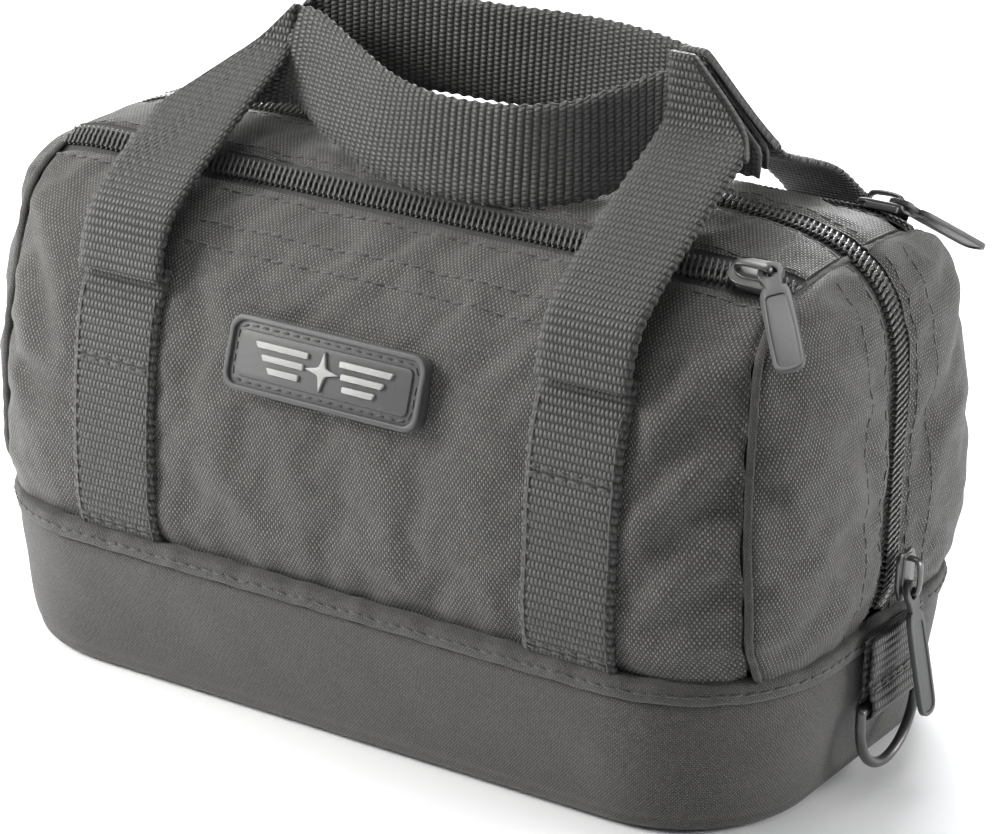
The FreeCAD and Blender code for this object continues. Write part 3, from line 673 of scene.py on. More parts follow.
def on_half(obj, sign, nodes=(), blend=True):
    """Puts a piece on the front or rear half: with blend it is baked in place, without blend it is attached to the
    half's body. It hides the CAD nodes it replaces, which are named without their half.
    """
    name = "front" if sign < 0 else "rear"
    if blend:
        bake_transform(obj)
    else:
        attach(obj, name + "_half")
    if nodes:
        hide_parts(*[name + "_" + n for n in nodes])
    return obj


def on_body(obj, body, slot, node=None):
    """Declares a piece that rides on one body, and the CAD node it replaces."""
    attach(obj, body)
    if node:
        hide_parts(node)
    return obj


def line_at(p, n, s, places):
    """The points and normals where each row of a grid reaches its place, for a row of stitches."""
    return tuple(np.array([at_length(grid[i], s[i], places[i]) for i in range(len(p))]) for grid in (p, n))


def edge_pins(rows, columns):
    """Pins for all four edges of a grid."""
    return np.pad(np.zeros((rows - 2, columns - 2)), 1, constant_values=1.0)


PANEL_LONG = 212
panel_x = np.linspace(-105.5, 105.5, 101)
panel_sections = sections(panel_x)
panel_raw = cropped(panel_sections, np.minimum(across_zip(panel_sections) - SLOT,
                                               panel_sections[..., 2] - FOOT), 60)[:, ::-1]
strip_sections = sections(panel_x, angles=(0.0, 60.0), samples=160)
strip_raw = cropped(strip_sections, np.minimum(-across_zip(strip_sections) - SLOT,
                                               -strip_sections[..., 1] - SLOT), 16)

# end panel: level slices from the seam round the corner to the main zip
end_heights = np.concatenate([np.linspace(FOOT, 121, 38), np.linspace(122.6, 131.9, 8)])
turn = np.radians(np.linspace(0, 75, 200))
origin = np.zeros((len(end_heights), len(turn), 3))
origin[..., 0], origin[..., 2] = 70.0, end_heights[:, None]
direction = np.zeros_like(origin)
direction[..., 0], direction[..., 1] = np.cos(turn), -np.sin(turn)
end_sections = shoot(origin, direction, 0.0)
end_raw = cropped(end_sections, np.minimum(
    -end_sections[..., 1] - SLOT, end_sections[..., 0] - seam_at(end_sections[..., 2]) - 0.5), 34)

# fold lines on the front, from the ends of the pocket zip and the base corners: (x, y, z)
FRONT_FOLDS = [
    ([(108, -52, 92), (102, -58, 86), (92, -63, 74), (84, -66, 60)], 2.4, 4.2),
    ([(106, -46, 114), (99, -54, 107), (91, -61, 95), (88, -64, 84)], 1.9, 3.6),
    ([(109, -54, 66), (100, -61, 62), (92, -65, 50)], 1.7, 3.4),
    ([(106, -50, 104), (98, -58, 98), (90, -63, 92)], 1.2, 3.2),
    ([(-106, -46, 116), (-98, -55, 108), (-90, -62, 96), (-86, -65, 82)], 2.0, 4.2),
    ([(-109, -52, 90), (-100, -60, 80), (-88, -65, 72)], 1.6, 4.0),
    ([(-50, -52, 118), (-44, -57, 108), (-38, -62, 96)], 1.3, 4.6),
    ([(-47, -62, 96), (-40, -65, 84), (-36, -66, 72)], 0.9, 4.4),
    ([(46, -50, 120), (41, -56, 110), (36, -61, 98), (40, -64, 86)], 1.3, 4.4),
    ([(-48, -66, 60), (-28, -66.5, 55), (-6, -66.5, 58), (12, -66, 54)], 0.9, 5.5),
    ([(20, -66, 62), (36, -66, 56), (50, -66, 60)], 0.8, 4.6),
    ([(84, -58, 106), (88, -52, 113), (94, -42, 122)], 1.2, 3.2),
]
END_FOLDS = [
    ([(108, -50, 118), (114, -40, 109), (119, -26, 97), (121, -14, 88)], 1.8, 4.0),
    ([(109, -53, 94), (114, -45, 84), (119, -32, 77)], 1.6, 3.6),
    ([(113, -46, 48), (118, -34, 57), (121, -20, 70)], 1.5, 4.4),
    ([(121, -8, 70), (121.5, -14, 84), (120, -18, 100)], 1.0, 3.6),
    ([(112, -40, 122), (115, -28, 120), (117, -14, 118)], 1.1, 3.2),
]

SURFACES = {}
for name, sign in (("front", -1), ("rear", 1)):
    seed = 40 if sign < 0 else 90
    # pocket panel
    p = panel_raw.copy()
    pins = np.maximum(edge_pins(*p.shape[:2]), leg_band(p[..., 0]) * (p[..., 2] < 116))
    if sign < 0:
        under_badge = (np.abs(p[..., 0]) < 30) & (np.abs(p[..., 2] - 98) < 10)
        pins = np.where(under_badge, 1.0, pins)
    p = settle(p, pins, seed, 3.2)
    n = grid_normals(p)
    along_v = row_lengths(p)
    along_u = np.linspace(0, PANEL_LONG, len(p))[:, None] + along_v * 0
    full_v = along_v[:, -1:]
    keep = 1 - leg_band(p[..., 0], 6.0) * (p[..., 2] < 118)
    edge_u = np.minimum(along_u, PANEL_LONG - along_u)
    edge_v = np.minimum(along_v, full_v - along_v)
    under_legs = p
    for line, depth, width in FRONT_FOLDS:
        p = crease(p, n, line, depth, width)
    p = pucker(p, n, edge_u, 0.7, 9.0, 6.0, seed, along_v)
    p = pucker(p, n, along_v - 3.0, 0.28, 12.0, 5.0, seed + 1, along_u)
    p = pucker(p, n, np.abs(full_v - along_v - 14.0), 0.35, 8.0, 5.0, seed + 2, along_u)
    p = p + n * (hash_noise(p, 46.0, seed + 3) * 0.35 + hash_noise(p, 19.0, seed + 4) * 0.16)[..., None]
    p = under_legs + (p - under_legs) * keep[..., None]
    n = grid_normals(p)
    # the edges turn in at the seams
    for depth, width, distance in ((1.5, 2.4, edge_u), (1.0, 2.2, edge_v)):
        p = p - n * (depth * np.exp(-(distance / width) ** 2))[..., None]
    uv = np.stack([along_u, along_v], -1) + UV_SHIFT
    panel = place(finer(slab(name + "_panel_cloth", p, n, CLOTH_THICK, uv, BODY_CLOTH)), sign)
    on_half(panel, sign, ["panel"])
    SURFACES[sign] = Surface(p, n, panel_x / SEAM_X[-1])

    # stitch rows below the pocket zip, left out under the legs; the lower two lie between the legs
    rows = []
    for inset in (3.4, 14.0, 20.5):
        column, normal = line_at(p, n, along_v, along_v[:, -1] - inset)
        inside = np.nonzero((leg_band(column[:, 0]) < 0.5) & (np.abs(column[:, 0]) < 104.5))[0]
        for run in np.split(inside, np.nonzero(np.diff(inside) > 1)[0] + 1):
            if len(run) > 3 and not (inset > 10 and abs(column[run, 0].mean()) > 80):
                rows.append((column[run], normal[run]))
    on_half(place(sew(name + "_panel_stitches", rows, radius=0.4), sign), sign)

    # strip between the zips
    p = settle(strip_raw, edge_pins(*strip_raw.shape[:2]), seed + 5, 2.0, 1.2, 0.015, 12)
    n = grid_normals(p)
    across = row_lengths(p)
    along = np.linspace(0, PANEL_LONG, len(p))[:, None] + across * 0
    edge = np.minimum(across, across[:, -1:] - across)
    p = pucker(p, n, edge, 0.3, 8.0, 4.0, seed + 6, along)
    p = p - n * (0.7 * np.exp(-(edge / 1.8) ** 2))[..., None]
    uv = np.stack([along, across + 140], -1) + UV_SHIFT
    strip = place(finer(slab(name + "_top_strip_cloth", p, n, CLOTH_THICK, uv, BODY_CLOTH)), sign)
    on_half(strip, sign, ["top_strip"])
    rows = [line_at(p, n, across, share * across[:, -1]) for share in (0.12, 0.88)]
    on_half(place(sew(name + "_top_strip_stitches", rows), sign), sign)

    # end panels
    for end, flip in (("right", 1.0), ("left", -1.0)):
        p = settle(end_raw, edge_pins(*end_raw.shape[:2]), seed + (7 if flip > 0 else 17), 3.0)
        n = grid_normals(p)
        for line, depth, width in END_FOLDS:
            p = crease(p, n, line, depth * (1 if flip > 0 else 0.8), width)
        width = row_lengths(p)
        height = np.concatenate([[0], np.cumsum(np.linalg.norm(np.diff(p, axis=0), axis=2).mean(1))])
        height = height[:, None] + width * 0
        edge = np.minimum(width, width[:, -1:] - width)
        p = pucker(p, n, edge, 0.6, 9.0, 5.0, seed + 8, height)
        p = pucker(p, n, height, 0.4, 11.0, 5.0, seed + 9, width)
        p = p + n * (hash_noise(p, 34.0, seed + 10) * 0.3)[..., None]
        p = p - n * (0.9 * np.exp(-(edge / 2.0) ** 2))[..., None]
        uv = np.stack([width, height], -1) + UV_SHIFT
        p, n = p * (flip, 1, 1), n * (flip, 1, 1)
        piece = place(finer(slab("%s_end_cloth_%s" % (name, end), p, n, CLOTH_THICK, uv, BODY_CLOTH)), sign)
        on_half(piece, sign, ["end_panel_" + end])
        # topstitching beside the main zip, and the welt line further in
        rows = []
        for inset in (2.6, 11.5):
            wide = width[:, -1] > inset + 4
            rows.append(line_at(p[wide], n[wide], width[wide], np.full(wide.sum(), inset)))
        on_half(place(sew("%s_end_stitches_%s" % (name, end), rows), sign), sign)

        # bound seam between the panels
        seam_section = sections([SEAM_X[-1] * flip])
        line = cropped(seam_section, np.minimum(-seam_section[..., 1] - SLOT + 0.6,
                                                seam_section[..., 2] - FOOT), 160)[0]
        normal = away_from_middle(unit(np.cross(np.gradient(line, axis=0), X_AXIS)), line)
        ripple = 0.1 * np.sin(np.arange(len(line)) * 0.9)[:, None]
        rings = [line + X_AXIS * 1.15 * math.cos(t) + normal * (0.75 * math.sin(t) - 0.95 + ripple)
                 for t in np.linspace(0, 2 * PI, PIPING_SIDES, endpoint=False)]
        index = np.arange(PIPING_SIDES * len(line)).reshape(PIPING_SIDES, -1)
        index = np.vstack([index, index[:1]])
        points = np.array(rings).reshape(-1, 3)
        faces = grid_faces(index)
        if not outward(points, faces):
            faces = faces[:, ::-1]
        caps = [index[:-1, 0].tolist(), index[:-1, -1][::-1].tolist()]
        uv = np.stack([np.repeat(np.arange(PIPING_SIDES) * 0.8, len(line)),
                       np.tile(lengths(line), PIPING_SIDES)], 1) + UV_SHIFT
        corners = [uv[f] for f in faces] + [uv[c] for c in caps]
        piping = make("%s_seam_piping_%s" % (name, end), points, list(faces) + caps, corners, BINDING_CLOTH)
        on_half(place(piping, sign), sign, ["seam_ridge_" + end])

# padded inner walls
inner_turn = np.radians(np.linspace(-90, 90, 90))
for name, sign in (("front", -1), ("rear", 1)):
    heights = np.concatenate([np.linspace(BOTTOM + 0.2, 120, 30), np.linspace(122, 134, 8)])
    origin = np.zeros((len(heights), len(inner_turn), 3))
    origin[..., 2] = heights[:, None]
    direction = np.zeros_like(origin)
    direction[..., 0], direction[..., 1] = np.sin(inner_turn), -np.cos(inner_turn)
    wall = shoot(origin, direction, -3.4)
    wall[..., 1] = np.minimum(wall[..., 1], -0.4)
    n = grid_normals(wall)
    quilting = 0.5 * np.cos(np.linspace(0, 18 * PI, wall.shape[1]))[None, :] ** 2
    wall = wall - n * (0.5 - quilting)[..., None]
    uv = grid_uv(wall.transpose(1, 0, 2)).transpose(1, 0, 2)
    piece = place(slab(name + "_lining_cloth", wall, n, 2.2, uv, LINING_CLOTH), sign)
    on_half(piece, sign, ["lining_wall"])

# ---------------------------------------------------------------- webbing

def band(name, path, widths, faces_out, wide=WEB_WIDE, thick=WEB_THICK, trim=None, start=0.0):
    """A ribbed webbing band. path is its centreline, widths and faces_out the directions across it and
    out of it at each point. trim(u) gives where the band starts and ends at a place across it."""
    s = lengths(path)
    count, face_count = int(s[-1] / 0.5) + 2, 15
    ring = 2 * face_count
    top = np.linspace(-1, 1, face_count)
    u = np.concatenate([top, top[::-1]]) * wide / 2
    face = np.repeat([1.0, -1.0], face_count)
    first, last = (np.zeros(ring), np.full(ring, s[-1])) if trim is None else trim(u)
    run = first[None] + (last - first)[None] * np.linspace(0, 1, count)[:, None]
    centre, across, out = at_length(path, s, run), unit(at_length(widths, s, run)), unit(
        at_length(faces_out, s, run))
    phase = (run + start) / RIB
    rib = 0.26 * (np.abs(np.sin(phase * PI)) ** 0.7 - 0.5)
    edge = 1 - 0.55 * (np.abs(u) / (wide / 2)) ** 14
    wave = 0.22 * np.sin(run * 1.9 + np.sign(u)[None]) * (np.abs(u) > wide * 0.49)
    points = (centre + across * (u[None] + np.sign(u)[None] * wave)[..., None]
              + out * ((face * (thick / 2) * edge)[None] + face[None] * rib * edge[None])[..., None])
    index = np.arange(count * ring).reshape(count, ring)
    index = np.hstack([index, index[:, :1]])
    uv_v = np.hstack([run + start, (run + start)[:, :1]])
    uv_grid = np.stack([np.hstack([u, u[:1]]) + uv_v * 0, uv_v], -1)
    ends = []
    for row, step in ((0, 1), (count - 1, -1)):
        line = index[row]
        ends += [[line[k], line[k + 1], line[ring - 2 - k], line[ring - 1 - k]][::step]
                 for k in range(face_count - 1)]
    faces = np.vstack([grid_faces(index), ends])
    corner_uv = np.concatenate([grid_corners(uv_grid), np.zeros((len(ends), 4, 2))]) + UV_SHIFT
    return closed(name, points, faces, corner_uv, WEBBING)


def edge_stitches(path, widths, faces_out, inset, raise_by):
    """A row of stitches along each edge of a band."""
    return [(path + widths * side * (WEB_WIDE / 2 - inset) + faces_out * raise_by, faces_out)
            for side in (-1, 1)]


def tack(path, widths, faces_out, place_at, raise_by):
    """Two rows of close stitches across a band."""
    s = lengths(path)
    rows = []
    for t in (place_at, place_at + 1.5):
        point, across, out = (at_length(values, s, t) for values in (path, widths, faces_out))
        reach = np.linspace(-WEB_WIDE / 2 + 1.2, WEB_WIDE / 2 - 1.2, 12)[:, None]
        rows.append((point + unit(across) * reach + unit(out) * raise_by, np.repeat(unit(out)[None], 12, 0)))
    return rows


# free webbing beside each leg: (distance from the ridge plane, height)
FREE_PATH = {
    -1: [(61.9, 109.5), (61.2, 113.0), (60.0, 118.4), (56.0, 125.4), (46.5, 133.0), (35.4, 140.0),
         (23.0, 147.6), (13.0, 153.2), (7.6, 157.2), (5.9, 162.5), (5.6, 173.2)],
    1: [(61.9, 109.5), (61.2, 113.0), (60.0, 118.4), (56.0, 125.0), (46.5, 132.2), (35.6, 139.4),
        (24.0, 143.9), (13.0, 147.6), (5.2, 151.4), (2.6, 157.0), (2.1, 173.2)]}
# grips: (x, y, height of the middle, lean of the band's top away from the side in degrees)
GRIPS = {
    -1: [(-74, -12.5, 152.0, 28), (-65, -9.6, 153.6, 26), (-56, -7.6, 155.0, 20), (-46, -8.4, 156.0, 14),
         (-30, -16.0, 152.2, 18), (-12, -23.6, 148.4, 13), (6, -27.4, 147.0, 7), (26, -26.4, 147.6, 6),
         (40, -20.2, 149.4, 10), (50, -11.6, 153.4, 10), (57, -6.4, 156.8, 7), (66, -3.6, 159.0, 3),
         (82, -3.2, 159.0, 2)],
    1: [(-76, 2.4, 153.8, -8), (-65, 1.2, 155.2, -4), (-55, 1.6, 157.4, 0), (-42, 5.0, 159.8, -3),
        (-20, 9.0, 160.6, -4), (0, 10.5, 160.6, -4), (22, 10.0, 161.6, -4), (42, 6.0, 162.2, -3),
        (60, 1.4, 161.4, 0), (70, 0.0, 160.8, 0), (82, 0.0, 160.4, 0)]}
ROLL_ROWS, ROLL_SIDES = 24, 9
# slanting folds where a leg turns into the grip: (x, height) at the outer and at the inner edge
FOLDS = {1: ((82.7, 153.2), (63.4, 173.0)), -1: ((-76.7, 142.8), (-52.4, 167.4))}


def fold_height(side, x):
    """Height of the fold at a place across the leg."""
    (outer_x, outer_z), (inner_x, inner_z) = FOLDS[side]
    return outer_z + np.clip((x - outer_x) / (inner_x - outer_x), 0, 1) * (inner_z - outer_z)


def fold_place(side, z):
    """How far out a grip reaches at a height before it meets the fold."""
    (outer_x, outer_z), (inner_x, inner_z) = FOLDS[side]
    return outer_x + np.clip((z - outer_z) / (inner_z - outer_z), 0, 1) * (inner_x - outer_x)


for name, sign in (("front", -1), ("rear", 1)):
    surface = SURFACES[sign]
    pieces = []
    for end, side in (("right", 1), ("left", -1)):
        # sewn leg, lying on the panel
        heights = np.linspace(BOTTOM - 0.2, 111.2, 60)
        spots = [surface.at(LEG_X[side], max(z, BOTTOM + 0.6)) for z in heights]
        path, out = (np.array(part) for part in zip(*spots))
        path[:, 2] = heights
        out = unit(out * (0, 1, 1))
        path = path + out * (WEB_THICK / 2 + 0.35)
        widths = np.repeat(X_AXIS[None], len(path), 0)
        leg = place(band("%s_leg_webbing_%s" % (name, end), path, widths, out), sign)
        on_half(leg, sign, ["leg_" + end])
        # stitched along both edges, and across at the foot and where the free webbing ends inside
        run = lengths(path)[-1]
        rows = edge_stitches(path[:55], widths[:55], out[:55], 1.6, WEB_THICK / 2 + 0.1)
        for place_at in (1.6, run - 26.0):
            rows += tack(path, widths, out, place_at, WEB_THICK / 2 + 0.14)
        on_half(place(sew("%s_leg_stitches_%s" % (name, end), rows), sign), sign)

        # free webbing up to the slanting fold
        free = resample(catmull([(LEG_X[side], -y, z) for y, z in FREE_PATH[sign]]), step=1.0)
        tangent = unit(np.gradient(free, axis=0))
        face = unit(np.cross(tangent, X_AXIS))
        face = face * np.where(face[:, 1:2] > 0, -1, 1)
        widths = np.repeat(X_AXIS[None], len(free), 0)
        s = lengths(free)

        def fold_trim(u, free=free, s=s, side=side):
            return np.zeros(len(u)), np.interp(fold_height(side, LEG_X[side] + u), free[:, 2], s)

        pieces.append(place(band("%s_handle_%s_webbing" % (name, end), free, widths, face, trim=fold_trim,
                                 start=run % RIB), sign))
        # rolled edge of the fold
        u = np.linspace(-WEB_WIDE / 2, WEB_WIDE / 2, ROLL_ROWS)
        roll = at_length(free, s, fold_trim(u)[1])
        roll[:, 0] = LEG_X[side] + u
        roll[:, 1] += 0.9
        round_by = np.linspace(0, 2 * PI, ROLL_SIDES)
        rim = 0.95 * np.stack([0 * round_by, 1.5 * np.cos(round_by), np.sin(round_by)], 1)
        tube = (roll[:, None] + rim[None]).reshape(-1, 3)
        tube_uv = np.stack(np.meshgrid(u, np.linspace(0, 6, ROLL_SIDES), indexing="ij"), -1)
        tube_uv = tube_uv.reshape(-1, 2) + UV_SHIFT
        index = np.arange(ROLL_ROWS * ROLL_SIDES).reshape(ROLL_ROWS, ROLL_SIDES)
        faces = list(grid_faces(index)) + [index[0, :-1], index[-1, :-1][::-1]]
        pieces.append(place(make("%s_handle_%s_fold" % (name, end), tube, faces, [tube_uv[f] for f in faces],
                                 WEBBING), sign))

    # grip between the two folds
    stations = catmull([(x, y if sign < 0 else -y, z, lean) for x, y, z, lean in GRIPS[sign]], 12)
    grip = stations[:, :3]
    lean = np.radians(stations[:, 3])
    tangent = unit(np.gradient(grip, axis=0))
    face = unit(np.cross(tangent, UP))
    face = face * np.where(face[:, 1:2] > 0, -1, 1)
    tilted_up = unit(UP * np.cos(lean)[:, None] - face * np.sin(lean)[:, None])
    tilted_face = unit(face * np.cos(lean)[:, None] + UP * np.sin(lean)[:, None])
    s = lengths(grip)

    def grip_trim(u, grip=grip, s=s):
        left = fold_place(-1, np.interp(-62, grip[:, 0], grip[:, 2]) + u * 0.95) + 1.0
        right = fold_place(1, np.interp(70, grip[:, 0], grip[:, 2]) + u) - 1.0
        return np.interp(left, grip[:, 0], s), np.interp(right, grip[:, 0], s)

    pieces.append(place(band(name + "_handle_grip", grip, tilted_up, tilted_face, trim=grip_trim,
                             wide=24.6), sign))
    for piece in pieces:
        if piece.name.endswith(("grip", "fold")):
            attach(piece, name + "_handle")
        else:
            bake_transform(piece)
    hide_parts(name + "_handle")

# ---------------------------------------------------------------- base

BASE_LONG, BASE_DEEP, BASE_CORNER = 118.0, 64.5, 40.0


def outline(half_long, half_deep, corner):
    """Closed rounded rectangle with its outward directions, starting in the middle of the right end."""
    parts = []
    for sx, sy, start in ((1, 1, 0), (-1, 1, 90), (-1, -1, 180), (1, -1, 270)):
        t = np.radians(start + np.linspace(0, 90, 24))
        parts.append(np.stack([sx * (half_long - corner) + corner * np.cos(t),
                               sy * (half_deep - corner) + corner * np.sin(t), 0 * t], 1))
    loop = np.vstack(parts + [parts[0][:1]])
    loop = resample(loop, step=2.0)[:-1]
    tangent = unit(np.roll(loop, -1, 0) - np.roll(loop, 1, 0))
    return loop, np.stack([tangent[:, 1], -tangent[:, 0], 0 * tangent[:, 0]], 1)


def hoop(name, rows, material):
    """A closed ring mesh from loops of points; the rows go round its section."""
    p = np.array(rows)
    r, c = p.shape[:2]
    index = np.arange(r * c).reshape(r, c)
    index = np.vstack([index, index[:1]])
    index = np.hstack([index, index[:, :1]])
    along = lengths(np.vstack([p[r // 2], p[r // 2][:1]]))
    section = lengths(np.vstack([p[:, 0], p[:1, 0]]))
    uv = grid_corners(np.stack(np.meshgrid(along, section), -1)) + UV_SHIFT
    return closed(name, p, grid_faces(index), uv, material)


# cover: from the middle of the underside out, up the wall, over the top edge and down inside
loop, away = outline(BASE_LONG, BASE_DEEP, BASE_CORNER)
around = lengths(np.vstack([loop, loop[:1]]))[:-1]
total = around[-1] + 2.0
spine = np.clip(loop, [-70, 0, 0], [70, 0, 0])
rows = []
for share in np.linspace(0.04, 0.93, 24):
    flat_row = spine + (loop - away * 5.5 - spine) * share
    dimple = 0.25 * (hash_noise(flat_row, 30.0, 5) + 1)
    rows.append(flat_row + UP * (0.1 + dimple * (share < 0.9))[:, None])
for turn_by in np.linspace(0, PI / 2, 6):
    rows.append(loop - away * (8.6 - 4.2 * math.sin(turn_by)) + UP * 4.2 * (1 - math.cos(turn_by)))
for z in np.linspace(5.5, 35.2, 20):
    share = (z - 5.5) / 29.7
    lean_in = 4.4 * (1 - z / 36.0)
    swell = 0.9 * max(math.sin(PI * share), 0.0) ** 0.8
    here = loop + np.array([0, 0, z])
    soft = hash_noise(here, 60.0, 6) * 0.75 + hash_noise(here, 24.0, 7) * 0.25
    rows.append(here - away * (lean_in - swell - soft * math.sin(PI * min(share * 1.05, 1)))[:, None])
rows.append(loop - away * 0.5 + UP * 36.4)
rows.append(loop - away * 1.9 + UP * 36.8)
for z in (34.0, 22.0, 10.0):
    rows.append(loop - away * (2.2 + 4.4 * (1 - z / 36.0)) + np.array([0, 0, z]))
rows.append(loop - away * 9.0 + UP * 3.0)
for share in (0.8, 0.4, 0.04):
    rows.append(spine + (loop - away * 5.5 - spine) * share + UP * 2.2)
cover = finer(hoop("base_cover_cloth", rows, BASE_CLOTH))
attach(cover, "base")
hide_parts("base_cover")
seam_line = [loop - away * (8.3 - 0.5 * math.cos(t)) + np.array([0, 0, 0.55 + 0.5 * math.sin(t)])
             for t in np.linspace(0, 2 * PI, 8, endpoint=False)]
edge_cord = hoop("base_underside_piping", seam_line, BINDING_CLOTH)
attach(edge_cord, "base")

# padded wall inside the base, from its foot up, over its top and down again
lining_loop, lining_away = outline(110.6, 57.1, 32.6)
rows = []
for out, z in ([(0, 5.0)] + [(0.0, z) for z in np.linspace(7, 37, 9)]
               + [(-0.6, 38.8), (-1.9, 39.3), (-3.2, 38.8)]):
    rows.append(lining_loop + lining_away * out + UP * z)
for z in np.linspace(37, 7.2, 12):
    here = lining_loop + np.array([0, 0, z])
    swell = 0.3 * hash_noise(here, 40.0, 21) - 0.5 * np.exp(-((z - 22) / 2.0) ** 2)
    rows.append(here - lining_away * (3.4 + np.clip(swell, -0.6, 0.4))[:, None])
rows.append(lining_loop - lining_away * 3.0 + UP * 5.0)
inner_wall = hoop("base_inner_wall_cloth", rows, LINING_CLOTH)
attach(inner_wall, "base")
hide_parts("base_foam_wall")

# padded floor inside the base
floor_loop, floor_away = outline(106.2, 52.7, 28.2)
floor_spine = np.clip(floor_loop, [-68, 0, 0], [68, 0, 0])
rows = [floor_spine + (floor_loop - floor_spine) * share + UP * 4.75 for share in (0.03, 0.5, 0.97)]
rows.append(floor_loop + UP * 5.6)
for share in np.linspace(0.99, 0.03, 16):
    here = floor_spine + (floor_loop - floor_spine) * share
    rows.append(here + UP * (6.35 + 0.2 * hash_noise(here, 34.0, 23))[:, None])
floor_pad = hoop("base_floor_pad_cloth", rows, LINING_CLOTH)
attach(floor_pad, "base")
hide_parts("base_floor_pad")

# folded binding strip round the top of the base
wavy = 0.22 * np.sin(around * (2 * PI / total) * 47) + 0.15 * np.sin(around * (2 * PI / total) * 81 + 1)
section = [(-3.6, 37.0), (-0.2, 36.1), (0.75, 36.2), (1.15, 37.0), (1.25, 38.4), (1.2, 39.8), (0.95, 41.0), (0.3, 41.6),
           (-1.2, 41.9), (-3.6, 41.5)]
rows = [loop + away * (out + wavy * (0.8 if out > 0 else 0))[:, None] + UP * (z + wavy * 0.8)[:, None]
        for out, z in section]
binding = finer(hoop("base_binding_strip", rows, BINDING_CLOTH))
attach(binding, "base")
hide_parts("base_binding")
closed_loop = np.vstack([loop, loop[:1]])
closed_away = np.vstack([away, away[:1]])
closed_wavy = np.append(wavy, wavy[0])
row = (closed_loop + closed_away * (1.28 + closed_wavy * 0.8)[:, None]
       + UP * (38.9 + closed_wavy)[:, None])
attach(sew("base_binding_stitches", [(row, closed_away)], radius=0.36, stitch=3.0, gap=0.8), "base")

# webbing tabs folded round the bars of the D-rings
for end, side in (("right", 1), ("left", -1)):
    ring_x, ring_z = 121.95, 23.2
    angle = np.linspace(0, PI, 14)
    profile = [(1.0, 41.6), (1.25, 36.0), (1.1, 30.0)]
    profile = [(0.95 + 0.12 * math.sin(k), 41.6 - k * 3.0) for k in range(5)]
    profile += [(2.25 * math.cos(t), ring_z + 0.8 - 2.9 * math.sin(t) ** 0.9) for t in angle]
    profile += [(-0.95, z) for z in (27.6, 31.0, 35.0, 41.4)]
    path = resample(catmull([(side * (ring_x + a), 0, z) for a, z in profile], 6), step=0.8)
    tangent = unit(np.gradient(path, axis=0))
    widths = np.repeat(Y_AXIS[None], len(path), 0)
    out = unit(np.cross(widths, tangent))
    if out[0, 0] * side < 0:
        out = -out
    tab = band("ring_tab_webbing_" + end, path, widths, out, wide=25.0, thick=1.1)
    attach(tab, "base")
    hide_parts("ring_tab_" + end)
    across = np.linspace(-11.5, 11.5, 12)
    rows = []
    for z in (28.4, 29.9):
        line = np.stack([side * (ring_x + 1.85) + 0 * across, across, z + 0 * across], 1)
        rows.append((line, np.repeat(np.array([[float(side), 0, 0]]), 12, 0)))
    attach(sew("ring_tab_stitches_" + end, rows, sink=0.0), "base")

# ---------------------------------------------------------------- zips

def zip_track(name, path, normals, pitch=1.62, reach=1.45, lift=-0.3):
    """Elements of a coil zip along a path, one mesh for each row, -1 or 1 across the track. Each turn
    of the coil shows a slanting strand with a head in the middle of the track."""
    s = lengths(path)
    places = np.arange(0.7, s[-1] - 0.7, pitch)
    made = {}
    for side in (-1, 1):
        t = places + (pitch / 2 if side > 0 else 0.0)
        t = t[t < s[-1] - 0.4]
        centre, normal = at_length(path, s, t), unit(at_length(normals, s, t))
        tangent = unit(at_length(np.gradient(path, axis=0), s, t))
        across = np.cross(normal, tangent) * side
        slant = unit(across - tangent * 0.36 * side)
        strands = centre + across * reach + normal * lift
        heads = centre + across * 0.35 + tangent * 0.4 * side + normal * (lift + 0.06)
        under = centre + across * (reach + 0.1) + tangent * pitch / 2 + normal * (lift - 0.75)
        middles = np.vstack([strands, heads, under])
        directions = np.vstack([slant, slant, unit(across + tangent * 0.3 * side)])
        half_long = np.repeat([1.4, 0.5, 1.3], len(t))
        made[side] = capsules("%s_%s" % (name, "a" if side < 0 else "b"), middles, directions,
                              np.vstack([normal] * 3), half_long, 0.41, COIL, 1.0)
    return made


def ribbon(name, path, normals, half_wide, low, thick, material, sides=(-1, 1), inner=0.0):
    """A flat woven tape along a path, from the inner to the half width on the given side or sides."""
    tangent = unit(np.gradient(path, axis=0))
    across = np.cross(normals, tangent)
    if len(sides) == 2:
        shares = np.linspace(-half_wide, half_wide, 9)
    else:
        shares = np.linspace(inner, half_wide, 5) * sides[0]
    p = path[:, None] + across[:, None] * shares[None, :, None] + normals[:, None] * low
    n = np.repeat(normals[:, None], len(shares), 1)
    uv = np.stack(np.broadcast_arrays(lengths(path)[:, None], shares[None]), -1) + UV_SHIFT
    return slab(name, p, n, thick, uv, material, 0.1)


for name, sign in (("front", -1), ("rear", 1)):
    out = np.array([0, -math.sin(ZIP_TILT), math.cos(ZIP_TILT)])
    # straight where the slider runs; at both ends it dips with the cloth towards the seams
    line = np.array([[x, -ZIP_Y, ZIP_Z] for x in np.linspace(-106.5, 106.5, 260)])
    cloth = sections(line[:, 0], angles=(0.0, 60.0), samples=200)
    drop = np.array([np.interp(0, across_zip(row), (row - line[0]) @ out) for row in cloth])
    line = line + out * (np.minimum(drop + 0.4, 0) * smooth_step((np.abs(line[:, 0]) - 92) / 9))[:, None]
    normals = np.repeat(out[None], len(line), 0)
    rows = zip_track(name + "_zip_coil", line, normals)
    for side, coil in rows.items():
        place(coil, sign)
        on_half(coil, sign, ["zip_chain"] if side < 0 else (), blend=False)
    tape = place(ribbon(name + "_zip_tape_cloth", line, normals, 5.6, -1.5, 0.5, TAPE_CLOTH), sign)
    on_half(tape, sign, ["zip_tape"], blend=False)

